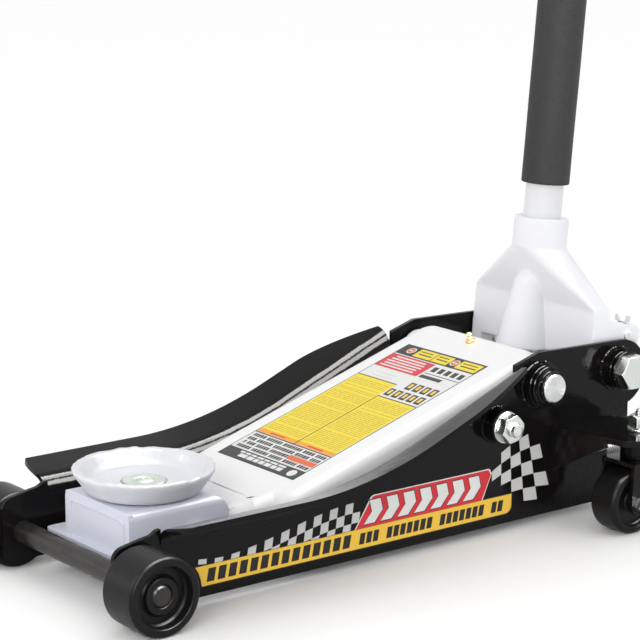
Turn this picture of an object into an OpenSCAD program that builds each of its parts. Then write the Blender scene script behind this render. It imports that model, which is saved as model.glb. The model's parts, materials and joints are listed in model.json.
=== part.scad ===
// Low profile hydraulic floor jack, arm down and handle upright.
// X runs from the saddle end to the handle end, Z is up, and the object is symmetric about Y = 0.
// Lengths along X are first measured from the front axle, then place() moves them to the middle.

/* [Frame] */
// Width over the outer faces of the two side plates
frame_w = 186; // [184:1:190]
// Thickness of the side plates
plate_t = 4.5; // [4:0.5:5]
// Height of the lower edge of the side plates above the floor
ground_gap = 9; // [8:1:11]
// Width over the outer edges of the two plate flanges
flange_w = 264; // [240:2:270]
// Angle by which the flanges rise outwards
flange_rise = 14; // [8:1:16]
// Height of the level front stretch of the flanges
shoulder_z = 81; // [79:1:83]
// Slope of the rear stretch of the flanges, as rise over run
flange_slope = 0.402; // [0.38:0.002:0.41]

/* [Front wheels] */
// Diameter of the front wheels
wheel_d = 70; // [68:1:71]
// Width of a front wheel
wheel_w = 44; // [40:1:46]
// Width over the outer faces of the front wheels
track_w = 280; // [278:1:290]
// Diameter of the front axle
axle_d = 20; // [18:1:22]

/* [Lift arm] */
// Height of the arm pivot above the floor
arm_pivot_z = 138; // [136:1:139]
// Distance from the front axle to the arm pivot
arm_pivot_x = 456; // [454:1:458]
// Diameter of the arm pivot pin
arm_pin_d = 27; // [24:1:28]
// Width of the pressed arm channel
arm_w = 166; // [160:2:170]
// Slope of the arm's top face at rest, in degrees
arm_slope = 17; // [16.5:0.5:17.5]

/* [Saddle and head] */
// Diameter over the rim of the saddle
saddle_d = 128; // [110:2:130]
// Height of the saddle rim above the floor with the arm down
saddle_top_z = 105; // [104:1:108]
// Width of the head box
head_w = 103; // [102:1:104]

/* [Handle] */
// Outer diameter of the handle tube
tube_d = 37; // [36:1:39]
// Outer diameter of the foam sleeve
foam_d = 47; // [44:1:52]
// Backward lean of the handle at rest, in degrees
handle_lean = 5.4; // [4:0.2:6]
// Length of the handle from the top of the socket to its end
handle_len = 894.5; // [700:0.5:1000]

/* [Rear casters] */
// Diameter of a caster wheel
caster_d = 62; // [58:1:63]
// Width of a caster wheel
caster_w = 32; // [28:1:33]
// Angle by which the near caster is turned, in degrees
caster_turn = 0; // [-30:1:30]

/* [Hidden] */

$fn = 48;

// Radial gap of every pin, bush and wheel in its bore
fit = 0.05;
paint_white = "#f0f0f2";
paint_black = "#1c1c1f";
plastic_black = "#2a2a2c";
zinc = "#c9ccc6";
steel = "#b3b5b8";
brass = "#c9a050";

// Frame
web_out = frame_w / 2;
web_in = web_out - plate_t;
plate_front_x = -21;
plate_rear_x = 548;
plate_top_z = 172.5;
jog_x = 17;
flange_x0 = 26;
flange_corner = 5;
flange_x1 = 425;
bend_r = 9;
relief = 1.5;
rise_x = 150;
rise_run = 152;
corner_x = 455;
corner_z = 168.5;

// Pivots, as [x, z] at rest
arm_pivot = [arm_pivot_x, arm_pivot_z];
head_pivot = [88, 46];
rod_shift = [-54, -30];
rod_rear = arm_pivot + rod_shift;
rod_front = head_pivot + rod_shift;
socket_pivot = [557, 139];
rear_lobe = socket_pivot + [7, -6];
ram_z = 63;
lever_r = 80;
lever_half_angle = 29;
lever_tip = arm_pivot + lever_r * [sin(lever_half_angle), -cos(lever_half_angle)];
lever_pin_d = 16;
head_pin_d = 22;
rod_pin_d = 12;
rod_bolt_d = 14;
rod_boss_h = 14;
socket_boss_h = 8;
socket_bolt_d = 20;
roller_at = socket_pivot + [26, 15];
roller_d = 20;
king_at = [531, 156];
caster_trail = 20;

// Arm
arm_t = 5;
arm_x0 = 168;
arm_x1 = 470;
arm_top_at_pivot = 163.5;
arm_barrel_d = 42;
arm_barrel_half = arm_w / 2 + 1.5;
beam_y = [34, 43];
nose_half = 44;

// Rods
rod_y = [58, 66];
rod_h = 18;

// Power unit
ram_d = 32;
cyl_d = 52;
tank_d = 84;
wall_span = [522, 534];
valve_x = 528;
tank_x1 = 575;
block_x = [575, 630];
block_y = [-38, 62];
block_z = [33, 93];
pump_at = [590, 44];
pump_d = 14;
pump_cap_z = 143.4;
pump_seat_z = 96;
spring_y = 73;
spring_z = 50;
spring_pin_x = 511;
spring_stud_x = 600;
spring_d = 18;

// Socket, measured from its pivot along the leaning handle
collar_d = 53.5;
collar_z = [105, 134.5];
roof_z = 55;
socket_w = 174;
wall_x = [-29, -10];
tube_x = -28;
tube_foot_z = 99;
stub_d = 8;
rib_x = tube_x - 10;
lug_screw_x = 16;
lug_pin = [17, 29.5];
foam_z = [167.5, 470];
joint_z = 560;
grip_len = 120;
grip_d = 44;
handle_top_z = collar_z[1] + handle_len;

// Overall ends of the object along X, from the front axle
x_min = -wheel_d / 2;
x_max = socket_pivot[0] + (tube_x + grip_d / 2) * cos(handle_lean) + handle_top_z * sin(handle_lean);

// Height of the flange bend above the floor at x
function bend_z(x) =
    let (u = x - rise_x)
    u < 0 ? shoulder_z
    : u < rise_run ? shoulder_z + flange_slope * u * u / (2 * rise_run)
    : shoulder_z + flange_slope * (u - rise_run / 2);

// Distance of the flange's outer edge from the centre plane at x
function flange_y(x) =
    let (tip = web_out + bend_r - 2, full = flange_w / 2, front = (x - flange_x0) / flange_corner,
         rear = (x - 340) / (flange_x1 - 340))
    front < 1 ? tip + (full - tip) * sqrt(1 - pow(1 - front, 2))
    : rear > 0 ? full - (full - tip) * pow(rear, 1.6)
    : full;

// Points of an arc from angle a0 to a1 round c
function arc(c, r, a0, a1, n = 8) =
    [for (i = [0:n]) c + r * [cos(a0 + (a1 - a0) * i / n), sin(a0 + (a1 - a0) * i / n)]];

// Stations along the flange: close together where it curves
flange_stations = concat(
    [for (i = [0:3]) flange_x0 + flange_corner * (1 - cos(30 * i))],
    [60, 100, 150],
    [for (i = [1:12]) rise_x + rise_run * i / 12],
    [for (i = [0:11]) 340 + (flange_x1 - 340) * i / 11]
);

module place() {
    translate([-(x_min + x_max) / 2, 0, 0]) children();
}

module on_side(side) {
    mirror([0, side < 0 ? 1 : 0, 0]) children();
}

module both_sides() {
    for (side = [-1, 1]) on_side(side) children();
}

// Extrudes a shape drawn in X and Z between two distances from the centre plane
module slab(y0, y1) {
    translate([0, y1, 0]) rotate([90, 0, 0]) linear_extrude(y1 - y0) children();
}

// A round bar across the object at the [x, z] point at
module cross_bar(at, d, y0, y1) {
    translate([at[0], y0, at[1]]) rotate([-90, 0, 0]) cylinder(d = d, h = y1 - y0);
}

// A round bar along X
module long_bar(x0, x1, z, d, y = 0) {
    translate([x0, y, z]) rotate([0, 90, 0]) cylinder(d = d, h = x1 - x0);
}

// A hexagonal prism across the object
module cross_hex(at, af, y0, y1, turn = 0) {
    translate([at[0], y0, at[1]]) rotate([-90, 0, 0]) rotate(turn)
        cylinder(d = af / cos(30), h = y1 - y0, $fn = 6);
}

// A closed skin over rings that all have the same number of points
module skin(rings) {
    n = len(rings[0]);
    last = len(rings) - 1;
    sides = [for (i = [0:last - 1], j = [0:n - 1])
        [i * n + j, i * n + (j + 1) % n, (i + 1) * n + (j + 1) % n, (i + 1) * n + j]];
    triangles = [for (q = sides) each [[q[0], q[1], q[2]], [q[0], q[2], q[3]]]];
    polyhedron(
        points = [for (r = rings) each r],
        faces = concat(triangles, [[for (j = [n - 1:-1:0]) j]], [[for (j = [0:n - 1]) last * n + j]])
    );
}

// How far the flange's two faces lie inside those of the web
flange_step = 0.2;
flange_leg = 6;

// One cross-section of the flange at x: a short leg in the plate, the bend and the sloping sheet
function flange_ring(x) =
    let (
        a = 90 + flange_rise,
        c = [web_out + bend_r, web_top(x) + 1],
        far = bend_r + plate_t - flange_step,
        near = bend_r + flange_step,
        along = [cos(flange_rise), sin(flange_rise)],
        run = (flange_y(x) - c[0] - far * cos(a)) / cos(flange_rise),
        outer = arc(c, far, 180, a, 6),
        inner = arc(c, near, a, 180, 6),
        leg = [[inner[6][0], c[1] - flange_leg], [outer[0][0], c[1] - flange_leg]],
        edge = [outer[6] + run * along, inner[0] + run * along]
    )
    [for (p = concat(outer, edge, inner, leg)) [x, p[0], p[1]]];

function web_top(x) = bend_z(x) - bend_r - plate_t;

// A slot as wide as relief parts each end of the bend from the rest of the plate
module plate_outline() {
    r = 8;
    under_flange = [for (x = [45:17:420]) [x, web_top(x)]];
    polygon(concat(
        arc([plate_front_x + r, ground_gap + r], r, 270, 180, 4),
        arc([plate_front_x + 12, 57], 12, 180, 100, 5),
        [[jog_x, 74], [jog_x + 7, shoulder_z - 2], [flange_x0 - relief, shoulder_z - 2]],
        [[flange_x0 - relief, web_top(flange_x0) - 2]],
        under_flange,
        [[flange_x1 + relief, web_top(flange_x1) - 2], [flange_x1 + relief, bend_z(flange_x1) - 1]],
        [[corner_x, corner_z]],
        arc(rear_lobe, 32.5, 88, -100, 14),
        [[plate_rear_x, 92]],
        arc([plate_rear_x - r, ground_gap + r], r, 0, -90, 4)
    ));
}

// Trims one end of the flange square, from x on
module square_cut(x) {
    translate([x, web_in - 1, web_top(x) - 2.5]) cube([1.2, 60, 60]);
}

module side_plate(side) {
    color(paint_black) place() on_side(side) difference() {
        union() {
            slab(web_in, web_out) plate_outline();
            skin([for (x = flange_stations) flange_ring(x)]);
            cross_bar(rod_rear, 32, web_out - 0.5, web_out + rod_boss_h);
            cross_bar(arm_pivot, 42, web_out - 0.5, web_out + 6);
            cross_bar(socket_pivot, 40, web_out - 0.5, web_out + socket_boss_h);
        }
        square_cut(flange_x0 - 0.8);
        square_cut(flange_x1 - 0.4);
        cross_bar([0, wheel_d / 2], axle_d + 2 * fit, web_in - 1, web_out + 1);
        cross_bar(arm_pivot, arm_pin_d + 2 * fit, web_in - 1, web_out + 7);
        cross_bar(rod_rear, rod_bolt_d + 2 * fit, web_in - 1, web_out + rod_boss_h + 1);
        cross_bar(socket_pivot, socket_bolt_d + 2 * fit, web_in - 1, web_out + socket_boss_h + 1);
    }
}

module side_plate_left() {
    side_plate(-1);
}

module side_plate_right() {
    side_plate(1);
}

module frame_cross_tube() {
    color(paint_black) place() difference() {
        cross_bar([215, 22], 18, -web_in, web_in);
        cross_bar([215, 22], 12, -web_in - 1, web_in + 1);
    }
}

// The axle stops a little inside the wheels' outer faces
axle_end_y = track_w / 2 - 5;
ring_y = axle_end_y - 4;

module front_axle() {
    color(plastic_black) place() difference() {
        union() {
            cross_bar([0, wheel_d / 2], axle_d, -axle_end_y + 1, axle_end_y - 1);
            both_sides() translate([0, axle_end_y - 1, wheel_d / 2]) rotate([-90, 0, 0])
                cylinder(d1 = axle_d, d2 = axle_d - 2, h = 1);
        }
        both_sides() translate([0, ring_y, wheel_d / 2]) rotate([-90, 0, 0]) difference() {
            cylinder(d = axle_d + 2, h = 1.6);
            translate([0, 0, -1]) cylinder(d = axle_d - 2, h = 4);
        }
    }
}

module axle_retaining_rings() {
    color(steel) place() both_sides() translate([0, ring_y + 0.05, wheel_d / 2]) rotate([-90, 0, 0])
        difference() {
            cylinder(d = axle_d + 7, h = 1.5);
            translate([0, 0, -1]) cylinder(d = axle_d - 2 + 2 * fit, h = 4);
            rotate(-90) translate([0, -2.5, -1]) cube([axle_d, 5, 4]);
        }
}

// A front wheel, drawn with its inner face at Z = 0 and its outer face at Z = wheel_w
module front_wheel_body() {
    r = wheel_d / 2;
    bore = axle_d / 2 + fit;
    hub = bore + 6;
    recess = 9;
    rotate_extrude($fn = 96) polygon(concat(
        [[bore, 0], [hub, 0], [hub + 2, 3], [r - 9, 3], [r - 8, 0]],
        arc([r - 2.5, 2.5], 2.5, -90, 0, 3),
        arc([r - 3, wheel_w - 3], 3, 0, 90, 4),
        [[r - 7, wheel_w], [r - 8.5, wheel_w - recess], [bore, wheel_w - recess]]
    ));
}

module front_wheel(side) {
    color(plastic_black) place() on_side(side)
        translate([0, track_w / 2 - wheel_w, wheel_d / 2]) rotate([-90, 0, 0]) front_wheel_body();
}

module front_wheel_left() {
    front_wheel(-1);
}

module front_wheel_right() {
    front_wheel(1);
}

// Cross wall between the side plates that closes the front of the cylinder
module cylinder_head() {
    color(paint_black) place() difference() {
        union() {
            translate([wall_span[0], -web_in, 20]) cube([wall_span[1] - wall_span[0], 2 * web_in, 84]);
            translate([valve_x, 0, 100]) cylinder(d = 24, h = 18);
            long_bar(wall_span[0] - 3, wall_span[0] + 1, ram_z, 50);
        }
        long_bar(wall_span[0] - 5, wall_span[1] + 1, ram_z, ram_d + 2 * fit);
        long_bar(wall_span[1], wall_span[1] + 12, ram_z, tank_d + 2 * fit);
        translate([valve_x, 0, 98]) cylinder(d = 10 + 2 * fit, h = 22);
        both_sides() long_bar(wall_span[0] - 1, wall_span[1] + 1, spring_z, spring_d + 6, spring_y);
    }
}

module reservoir_tube() {
    color(paint_black) place() difference() {
        long_bar(wall_span[1], tank_x1, ram_z, tank_d);
        long_bar(wall_span[1] - 1, tank_x1 + 1, ram_z, tank_d - 6);
    }
}

module ram_cylinder() {
    color(steel) place() difference() {
        long_bar(wall_span[1], 624, ram_z, cyl_d);
        long_bar(wall_span[1] - 1, 622, ram_z, ram_d + 2 * fit);
    }
}

module pump_block() {
    bore_at = [spring_stud_x, spring_z];
    color(paint_black) place() difference() {
        union() {
            translate([block_x[0], block_y[0], block_z[0]])
                cube([block_x[1] - block_x[0], block_y[1] - block_y[0], block_z[1] - block_z[0]]);
            translate([pump_at[0], pump_at[1], block_z[1] - 3]) cylinder(d = 28, h = pump_seat_z - block_z[1] + 3);
            long_bar(block_x[0] - 4, block_x[0] + 1, ram_z, tank_d - 6.2);
            translate([612, -15, block_z[1] - 2]) cylinder(d = 22, h = 6);
        }
        long_bar(block_x[0] - 6, 624.1, ram_z, cyl_d + 2 * fit);
        translate([pump_at[0], pump_at[1], 38]) cylinder(d = pump_d + 2 * fit, h = 80);
        translate([612, -15, 84]) cylinder(d = 12 + 2 * fit, h = 20);
        cross_bar(bore_at, 8 + 2 * fit, block_y[0] - 1, block_y[0] + 8);
        cross_bar(bore_at, 8 + 2 * fit, block_y[1] - 8, block_y[1] + 1);
    }
}

module oil_filler_plug() {
    color(zinc) place() translate([612, -15, 0]) {
        translate([0, 0, 88]) cylinder(d = 12, h = 12);
        translate([0, 0, 97]) cylinder(d = 18, h = 5, $fn = 6);
    }
}

module spring_anchor_studs() {
    at = [spring_stud_x, spring_z];
    color(zinc) place() {
        cross_bar(at, 8, -spring_y - 8, block_y[0] + 7);
        cross_bar(at, 8, block_y[1] - 7, spring_y + 8);
    }
}

// Ends of the arm pivot pin and its collars, outwards from a side plate
pin_end_y = web_out + 23;

module arm_pivot_pin() {
    color(steel) place() union() {
        cross_bar(arm_pivot, arm_pin_d, -pin_end_y + 1, pin_end_y - 1);
        both_sides() translate([arm_pivot[0], pin_end_y - 1, arm_pivot[1]]) rotate([-90, 0, 0])
            cylinder(d1 = arm_pin_d, d2 = arm_pin_d - 2, h = 1);
    }
}

module arm_pin_collars() {
    color(paint_black) place() both_sides() difference() {
        union() {
            cross_bar(arm_pivot, 40, web_out + 6, web_out + 9);
            cross_bar(arm_pivot, 36, web_out + 9, web_out + 11);
            cross_bar(arm_pivot, 39, web_out + 11, web_out + 14);
            cross_bar(arm_pivot, 33, web_out + 14, web_out + 16);
            cross_bar(arm_pivot, 30, web_out + 16, web_out + 20);
        }
        cross_bar(arm_pivot, arm_pin_d + 2 * fit, web_out + 5, web_out + 21);
    }
}

module rod_pivot_bolts() {
    color(zinc) place() both_sides() {
        cross_bar(rod_rear, rod_bolt_d, rod_y[0] - 2, web_out + rod_boss_h + 19);
        cross_hex(rod_rear, 21, rod_y[0] - 9, rod_y[0] - 2);
    }
}

module rod_pivot_nuts() {
    face_y = web_out + rod_boss_h;
    color(zinc) place() both_sides() difference() {
        union() {
            cross_bar(rod_rear, 30, face_y, face_y + 2);
            cross_hex(rod_rear, 24, face_y + 2, face_y + 12.5, 12);
        }
        cross_bar(rod_rear, rod_bolt_d + 2 * fit, face_y - 1, face_y + 14);
    }
}

module socket_pivot_bolts() {
    color(zinc) place() both_sides() {
        cross_bar(socket_pivot, socket_bolt_d, socket_w / 2 - 16, web_out + socket_boss_h + 8);
        cross_hex(socket_pivot, 31, web_out + socket_boss_h + 8, web_out + socket_boss_h + 20);
    }
}

module socket_pivot_washers() {
    face_y = web_out + socket_boss_h;
    color(paint_black) place() both_sides() difference() {
        union() {
            cross_bar(socket_pivot, 37, face_y, face_y + 2.5);
            cross_bar(socket_pivot, 31, face_y + 2.5, face_y + 5.5);
            cross_bar(socket_pivot, 38, face_y + 5.5, face_y + 8);
        }
        cross_bar(socket_pivot, socket_bolt_d + 2 * fit, face_y - 1, face_y + 9);
    }
}

// Casters
plate_z = [89, 95];

// Bottom and top of the fork's crown
crown_z = [66, 70];
king_d = 14;

module caster_plate(side) {
    color(paint_black) place() on_side(side) difference() {
        union() {
            translate([0, 0, plate_z[0]]) linear_extrude(plate_z[1] - plate_z[0]) polygon(concat(
                [[534, web_out], [472, web_out], [487, 168]],
                arc([501, 170], 14, 170, 90, 5),
                arc([552, 166], 18, 90, 0, 5),
                [[570, 150], [558, 112]]
            ));
            intersection() {
                linear_extrude(plate_z[0] + 1) polygon([[473, web_out], [479, web_out], [491, 152], [485, 152]]);
                translate([470, 0, 0]) rotate([90, 0, 90]) linear_extrude(30)
                    polygon([[web_out, 50], [152, plate_z[0] - 6], [152, 100], [web_out, 100]]);
            }
            translate([king_at[0], king_at[1], crown_z[1] + 0.2])
                cylinder(d = 40, h = plate_z[0] - crown_z[1] + 0.8);
        }
        translate([king_at[0], king_at[1], 60]) cylinder(d = king_d + 2 * fit, h = 40);
    }
}

module caster_plate_left() {
    caster_plate(-1);
}

module caster_plate_right() {
    caster_plate(1);
}

module caster_kingpins() {
    color(zinc) place() both_sides() translate([king_at[0], king_at[1], 0]) {
        translate([0, 0, crown_z[0] - 1]) cylinder(d = king_d, h = plate_z[1] + 21 - crown_z[0]);
        translate([0, 0, plate_z[1]]) cylinder(d = 28, h = 2.5);
        translate([0, 0, plate_z[1] + 2.5]) rotate(20) cylinder(d = 22 / cos(30), h = 12, $fn = 6);
        translate([0, 0, crown_z[0] - 3.5]) cylinder(d = 24, h = 3.5);
    }
}

// Turns a caster's own frame, centred on its kingpin, to its place at rest
module caster_at(side) {
    place() on_side(side) translate([king_at[0], king_at[1], 0]) rotate(-caster_turn) children();
}

fork_in = caster_w / 2 + 2;
caster_axle_d = 10;

module caster_fork(side) {
    hub = [-caster_trail, caster_d / 2];
    color(paint_black) caster_at(side) difference() {
        union() {
            translate([0, 0, crown_z[0]]) linear_extrude(crown_z[1] - crown_z[0]) polygon(concat(
                arc([0, 0], 22, 60, -60, 8),
                [[-30, -fork_in - 3.5], [-30, fork_in + 3.5]]
            ));
            for (s = [-1, 1]) mirror([0, s < 0 ? 1 : 0, 0]) slab(fork_in, fork_in + 3.5) polygon(concat(
                [[-30, crown_z[1]], [11, crown_z[1]]],
                arc(hub, 12, 10, -190, 14)
            ));
        }
        translate([0, 0, 60]) cylinder(d = king_d + 2 * fit, h = 30);
        cross_bar(hub, caster_axle_d + 2 * fit, -fork_in - 5, fork_in + 5);
    }
}

module caster_fork_left() {
    caster_fork(-1);
}

module caster_fork_right() {
    caster_fork(1);
}

module caster_wheel(side) {
    r = caster_d / 2;
    half = caster_w / 2;
    bore = caster_axle_d / 2 + fit;
    color(plastic_black) caster_at(side) translate([-caster_trail, 0, r]) rotate([-90, 0, 0])
        rotate_extrude($fn = 72) polygon(concat(
            [[bore, -half - 1], [9, -half - 1], [10, -half + 6], [r - 8, -half + 6], [r - 7, -half]],
            arc([r - 5, -half + 5], 5, -90, 0, 4),
            arc([r - 5, half - 5], 5, 0, 90, 4),
            [[r - 7, half], [r - 8, half - 6], [10, half - 6], [9, half + 1], [bore, half + 1]]
        ));
}

module caster_wheel_left() {
    caster_wheel(-1);
}

module caster_wheel_right() {
    caster_wheel(1);
}

module caster_axle(side) {
    hub = [-caster_trail, caster_d / 2];
    out = fork_in + 3.5;
    color(zinc) caster_at(side) {
        cross_bar(hub, caster_axle_d, -out, out + 12);
        cross_hex(hub, 16, -out - 6, -out);
        cross_hex(hub, 16, out, out + 8, 10);
    }
}

module caster_axle_left() {
    caster_axle(-1);
}

module caster_axle_right() {
    caster_axle(1);
}

// Lift arm
arm_run = tan(arm_slope);

// Height of the arm's top face at x
function arm_top(x) = arm_top_at_pivot + (x - arm_pivot_x) * arm_run;

module arm_plan() {
    half = arm_w / 2;
    right = concat(
        [[104, -43], [124, -45]],
        arc([124, -77], 32, 90, 40, 5),
        arc([arm_x0 + 12, -half + 11.5], 12, 180, 270, 4),
        arc([arm_x1 - 16, -half + 15.5], 16, 270, 360, 5)
    );
    polygon(concat(right, [for (i = [len(right) - 1:-1:0]) [right[i][0], -right[i][1]]]));
}

module arm_section() {
    half = arm_w / 2;
    r = 13;
    depth = 25;
    outer = concat(
        [[-half, -depth]], arc([-half + r, -r], r, 180, 90, 5),
        arc([half - r, -r], r, 90, 0, 5), [[half, -depth]]
    );
    inner = concat(
        [[half - arm_t, -depth]], arc([half - r, -r], r - arm_t, 0, 90, 5),
        arc([-half + r, -r], r - arm_t, 90, 180, 5), [[-half + arm_t, -depth]]
    );
    polygon(concat(outer, inner));
}

module lift_arm() {
    start = 90;
    color(paint_white) place() difference() {
        union() {
            intersection() {
                translate([start, 0, arm_top(start)]) rotate([0, -arm_slope, 0]) rotate([90, 0, 90])
                    linear_extrude(430) arm_section();
                linear_extrude(260) arm_plan();
            }
            both_sides() slab(beam_y[0], beam_y[1]) polygon(concat(
                arc(head_pivot, 14, 255, 80, 14),
                [[110, arm_top(110) - 2], [arm_pivot[0] + 8, arm_top(arm_pivot[0] + 8) - 2]],
                arc(arm_pivot, 24, 60, -80, 10)
            ));
            cross_bar(head_pivot, 30, -nose_half, nose_half);
            cross_bar(arm_pivot, arm_barrel_d, -arm_barrel_half, arm_barrel_half);
        }
        cross_bar(head_pivot, head_pin_d + 2 * fit, -nose_half - 1, nose_half + 1);
        cross_bar(arm_pivot, arm_pin_d + 2 * fit, -arm_barrel_half - 1, arm_barrel_half + 1);
    }
}

lever_y = [25.5, 33.5];

module arm_lever() {
    side = arm_barrel_d / 2 + 8;
    color(paint_white) place() both_sides() difference() {
        slab(lever_y[0], lever_y[1]) polygon(concat(
            arc(arm_pivot, side, -35, -145, 10),
            arc(lever_tip, 14, 205, 385, 12)
        ));
        cross_bar(arm_pivot, arm_barrel_d + 2 * fit, lever_y[0] - 1, lever_y[1] + 1);
        cross_bar(lever_tip, lever_pin_d + 2 * fit, lever_y[0] - 1, lever_y[1] + 1);
    }
}

module lever_pin() {
    color(steel) place() union() {
        cross_bar(lever_tip, lever_pin_d, -lever_y[1] - 2, lever_y[1] + 2);
        both_sides() cross_bar(lever_tip, lever_pin_d + 5, lever_y[1] + 0.2, lever_y[1] + 2.5);
    }
}

module grease_nipple() {
    x = 452;
    color(brass) place() translate([x, 0, arm_top(x)]) rotate([0, -arm_slope, 0]) {
        cylinder(d = 9, h = 2.5, $fn = 6);
        cylinder(d = 5, h = 6);
        translate([0, 0, 6]) sphere(d = 6);
    }
}

// Head and saddle
bracket_x = [22, 127];
head_top_z = 81;
head_t = 5.5;
saddle_x = 72;
stem_d = 30;
stem_z = 70;

module head_side_outline() {
    polygon(concat(
        [[bracket_x[0], head_top_z], [108, head_top_z]],
        arc([110, 64], 17, 83, 0, 6),
        [[127, 54], [108, 28], [60, 26]],
        arc(rod_front, 11, -20, -110, 5),
        [[bracket_x[0], 8]]
    ));
}

module head_bracket() {
    half = head_w / 2;
    r = 8;
    length = bracket_x[1] - bracket_x[0];
    color(paint_white) place() difference() {
        union() {
            intersection() {
                translate([bracket_x[0], 0, 0]) rotate([90, 0, 90]) linear_extrude(length) polygon(concat(
                    [[-half, 0]], arc([-half + r, head_top_z - r], r, 180, 90, 5),
                    arc([half - r, head_top_z - r], r, 90, 0, 5), [[half, 0], [half - head_t, 0]],
                    [[half - head_t, head_top_z - head_t], [-half + head_t, head_top_z - head_t]],
                    [[-half + head_t, 0]]
                ));
                slab(-half - 1, half + 1) head_side_outline();
            }
            translate([bracket_x[0], -half + 1, 36]) cube([5, 2 * half - 2, head_top_z - 38]);
            translate([0, 0, 36]) linear_extrude(5) polygon(concat(
                arc([20, -68], 6, 180, 270, 4), arc([54, -68], 6, 270, 360, 4),
                arc([54, 68], 6, 0, 90, 4), arc([20, 68], 6, 90, 180, 4)
            ));
        }
        cross_bar(head_pivot, head_pin_d + 2 * fit, -half - 1, half + 1);
        cross_bar(rod_front, rod_pin_d + 2 * fit, -half - 1, half + 1);
        translate([saddle_x, 0, head_top_z - 10]) cylinder(d = stem_d + 2 * fit, h = 20);
    }
}

module head_pivot_pin() {
    color(steel) place() union() {
        cross_bar(head_pivot, head_pin_d, -head_w / 2 - 1, head_w / 2 + 1);
        both_sides() cross_bar(head_pivot, head_pin_d + 5, head_w / 2 + 0.2, head_w / 2 + 3);
    }
}

module rod_front_pin() {
    color(steel) place() union() {
        cross_bar(rod_front, rod_pin_d, -rod_y[1] - 1, rod_y[1] + 1);
        both_sides() cross_bar(rod_front, rod_pin_d + 4, rod_y[1] + 0.4, rod_y[1] + 3);
    }
}

module saddle() {
    r = saddle_d / 2;
    z0 = head_top_z + 0.3;
    floor_z = 91;
    screw_r = 6 + fit;
    color(paint_white) place() translate([saddle_x, 0, 0]) rotate_extrude($fn = 96) polygon(concat(
        [[screw_r, stem_z], [stem_d / 2, stem_z], [stem_d / 2, z0], [r - 20, z0]],
        arc([r - 20, z0 + 12], 12, -80, -35, 3),
        arc([r - 4, saddle_top_z - 8], 4, -40, 0, 3),
        arc([r - 5, saddle_top_z - 4], 4, 60, 120, 4),
        [[r - 10, saddle_top_z - 6], [r - 17, floor_z + 1], [r - 19, floor_z], [20.5, floor_z]],
        [[20.5, floor_z - 2.9], [screw_r, floor_z - 2.9]]
    ));
}

module saddle_screw() {
    color(zinc) place() translate([saddle_x, 0, 0]) {
        translate([0, 0, stem_z - 8.5]) cylinder(d = 12, h = 27);
        difference() {
            translate([0, 0, 88.2]) cylinder(d = 39, h = 2.6);
            translate([-8, -1.5, 89.7]) cube([16, 3, 3]);
        }
        translate([0, 0, stem_z - 8]) cylinder(d = 21, h = 7.9, $fn = 6);
    }
}

// Radius rods
module radius_rod(side) {
    a = atan2(rod_rear[1] - rod_front[1], rod_rear[0] - rod_front[0]);
    length = norm(rod_rear - rod_front);
    color(paint_black) place() on_side(side) difference() {
        translate([rod_front[0], 0, rod_front[1]]) rotate([0, -a, 0]) slab(rod_y[0], rod_y[1])
            polygon(concat(
                arc([0, 0], 9, 270, 90, 10),
                [[length - 14, 9]],
                arc([length, 0], 12, 140, -140, 14),
                [[length - 14, -9]]
            ));
        cross_bar(rod_front, rod_pin_d + 0.8, rod_y[0] - 1, rod_y[1] + 1);
        cross_bar(rod_rear, rod_bolt_d + 2 * fit, rod_y[0] - 1, rod_y[1] + 1);
    }
}

module radius_rod_left() {
    radius_rod(-1);
}

module radius_rod_right() {
    radius_rod(1);
}

// Ram and its crosshead
cross_x = [479, 518];
cross_half = 24.5;

module ram() {
    color("#d9dbdd") place() long_bar(cross_x[1], 614, ram_z, ram_d);
}

module crosshead() {
    slot = lever_pin_d + 1.4;
    low = arm_pivot[1] - lever_r;
    high = lever_tip[1];
    color(steel) place() difference() {
        slab(-cross_half, cross_half) polygon(concat(
            [[cross_x[1], 42], [cross_x[1], 84]], arc([487, 76], 8, 90, 180, 4), arc([487, 50], 8, 180, 270, 4)
        ));
        cross_bar([lever_tip[0], low], slot, -cross_half - 1, cross_half + 1);
        cross_bar([lever_tip[0], high], slot, -cross_half - 1, cross_half + 1);
        slab(-cross_half - 1, cross_half + 1) translate([lever_tip[0] - slot / 2, low]) square([slot, high - low]);
        cross_bar([spring_pin_x, spring_z], 8 + 2 * fit, -cross_half - 1, cross_half + 1);
    }
}

module spring_cross_pin() {
    color(zinc) place() cross_bar([spring_pin_x, spring_z], 8, -spring_y - 8, spring_y + 8);
}

module return_spring(side) {
    color(steel) place() on_side(side)
        long_bar(spring_pin_x + 4.3, spring_stud_x - 4.3, spring_z, spring_d, spring_y);
}

module return_spring_left() {
    return_spring(-1);
}

module return_spring_right() {
    return_spring(1);
}

module pump_piston() {
    color(steel) place() translate([pump_at[0], pump_at[1], 0]) {
        translate([0, 0, 72]) cylinder(d = pump_d, h = pump_cap_z - 76);
        translate([0, 0, pump_cap_z - 5]) cylinder(d = 26, h = 5);
    }
}

module pump_spring() {
    color(steel) place() translate([pump_at[0], pump_at[1], pump_seat_z + 0.1]) difference() {
        cylinder(d = 23, h = pump_cap_z - 5.2 - pump_seat_z);
        translate([0, 0, -1]) cylinder(d = pump_d + 2, h = 60);
    }
}

module release_valve() {
    color(steel) place() translate([valve_x, 0, 0]) {
        translate([0, 0, 98.2]) cylinder(d = 10, h = 24);
        translate([0, 0, 118.2]) cylinder(d = 18, h = 6);
        difference() {
            translate([0, 0, 124]) cylinder(d = 18, h = 12);
            translate([-4, -10, 129]) cube([8, 20, 8]);
        }
    }
}

// Places children in the socket's own frame: its pivot at the origin, the handle along +Z
module in_socket() {
    place() translate([socket_pivot[0], 0, socket_pivot[1]]) rotate([0, handle_lean, 0]) children();
}

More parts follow.
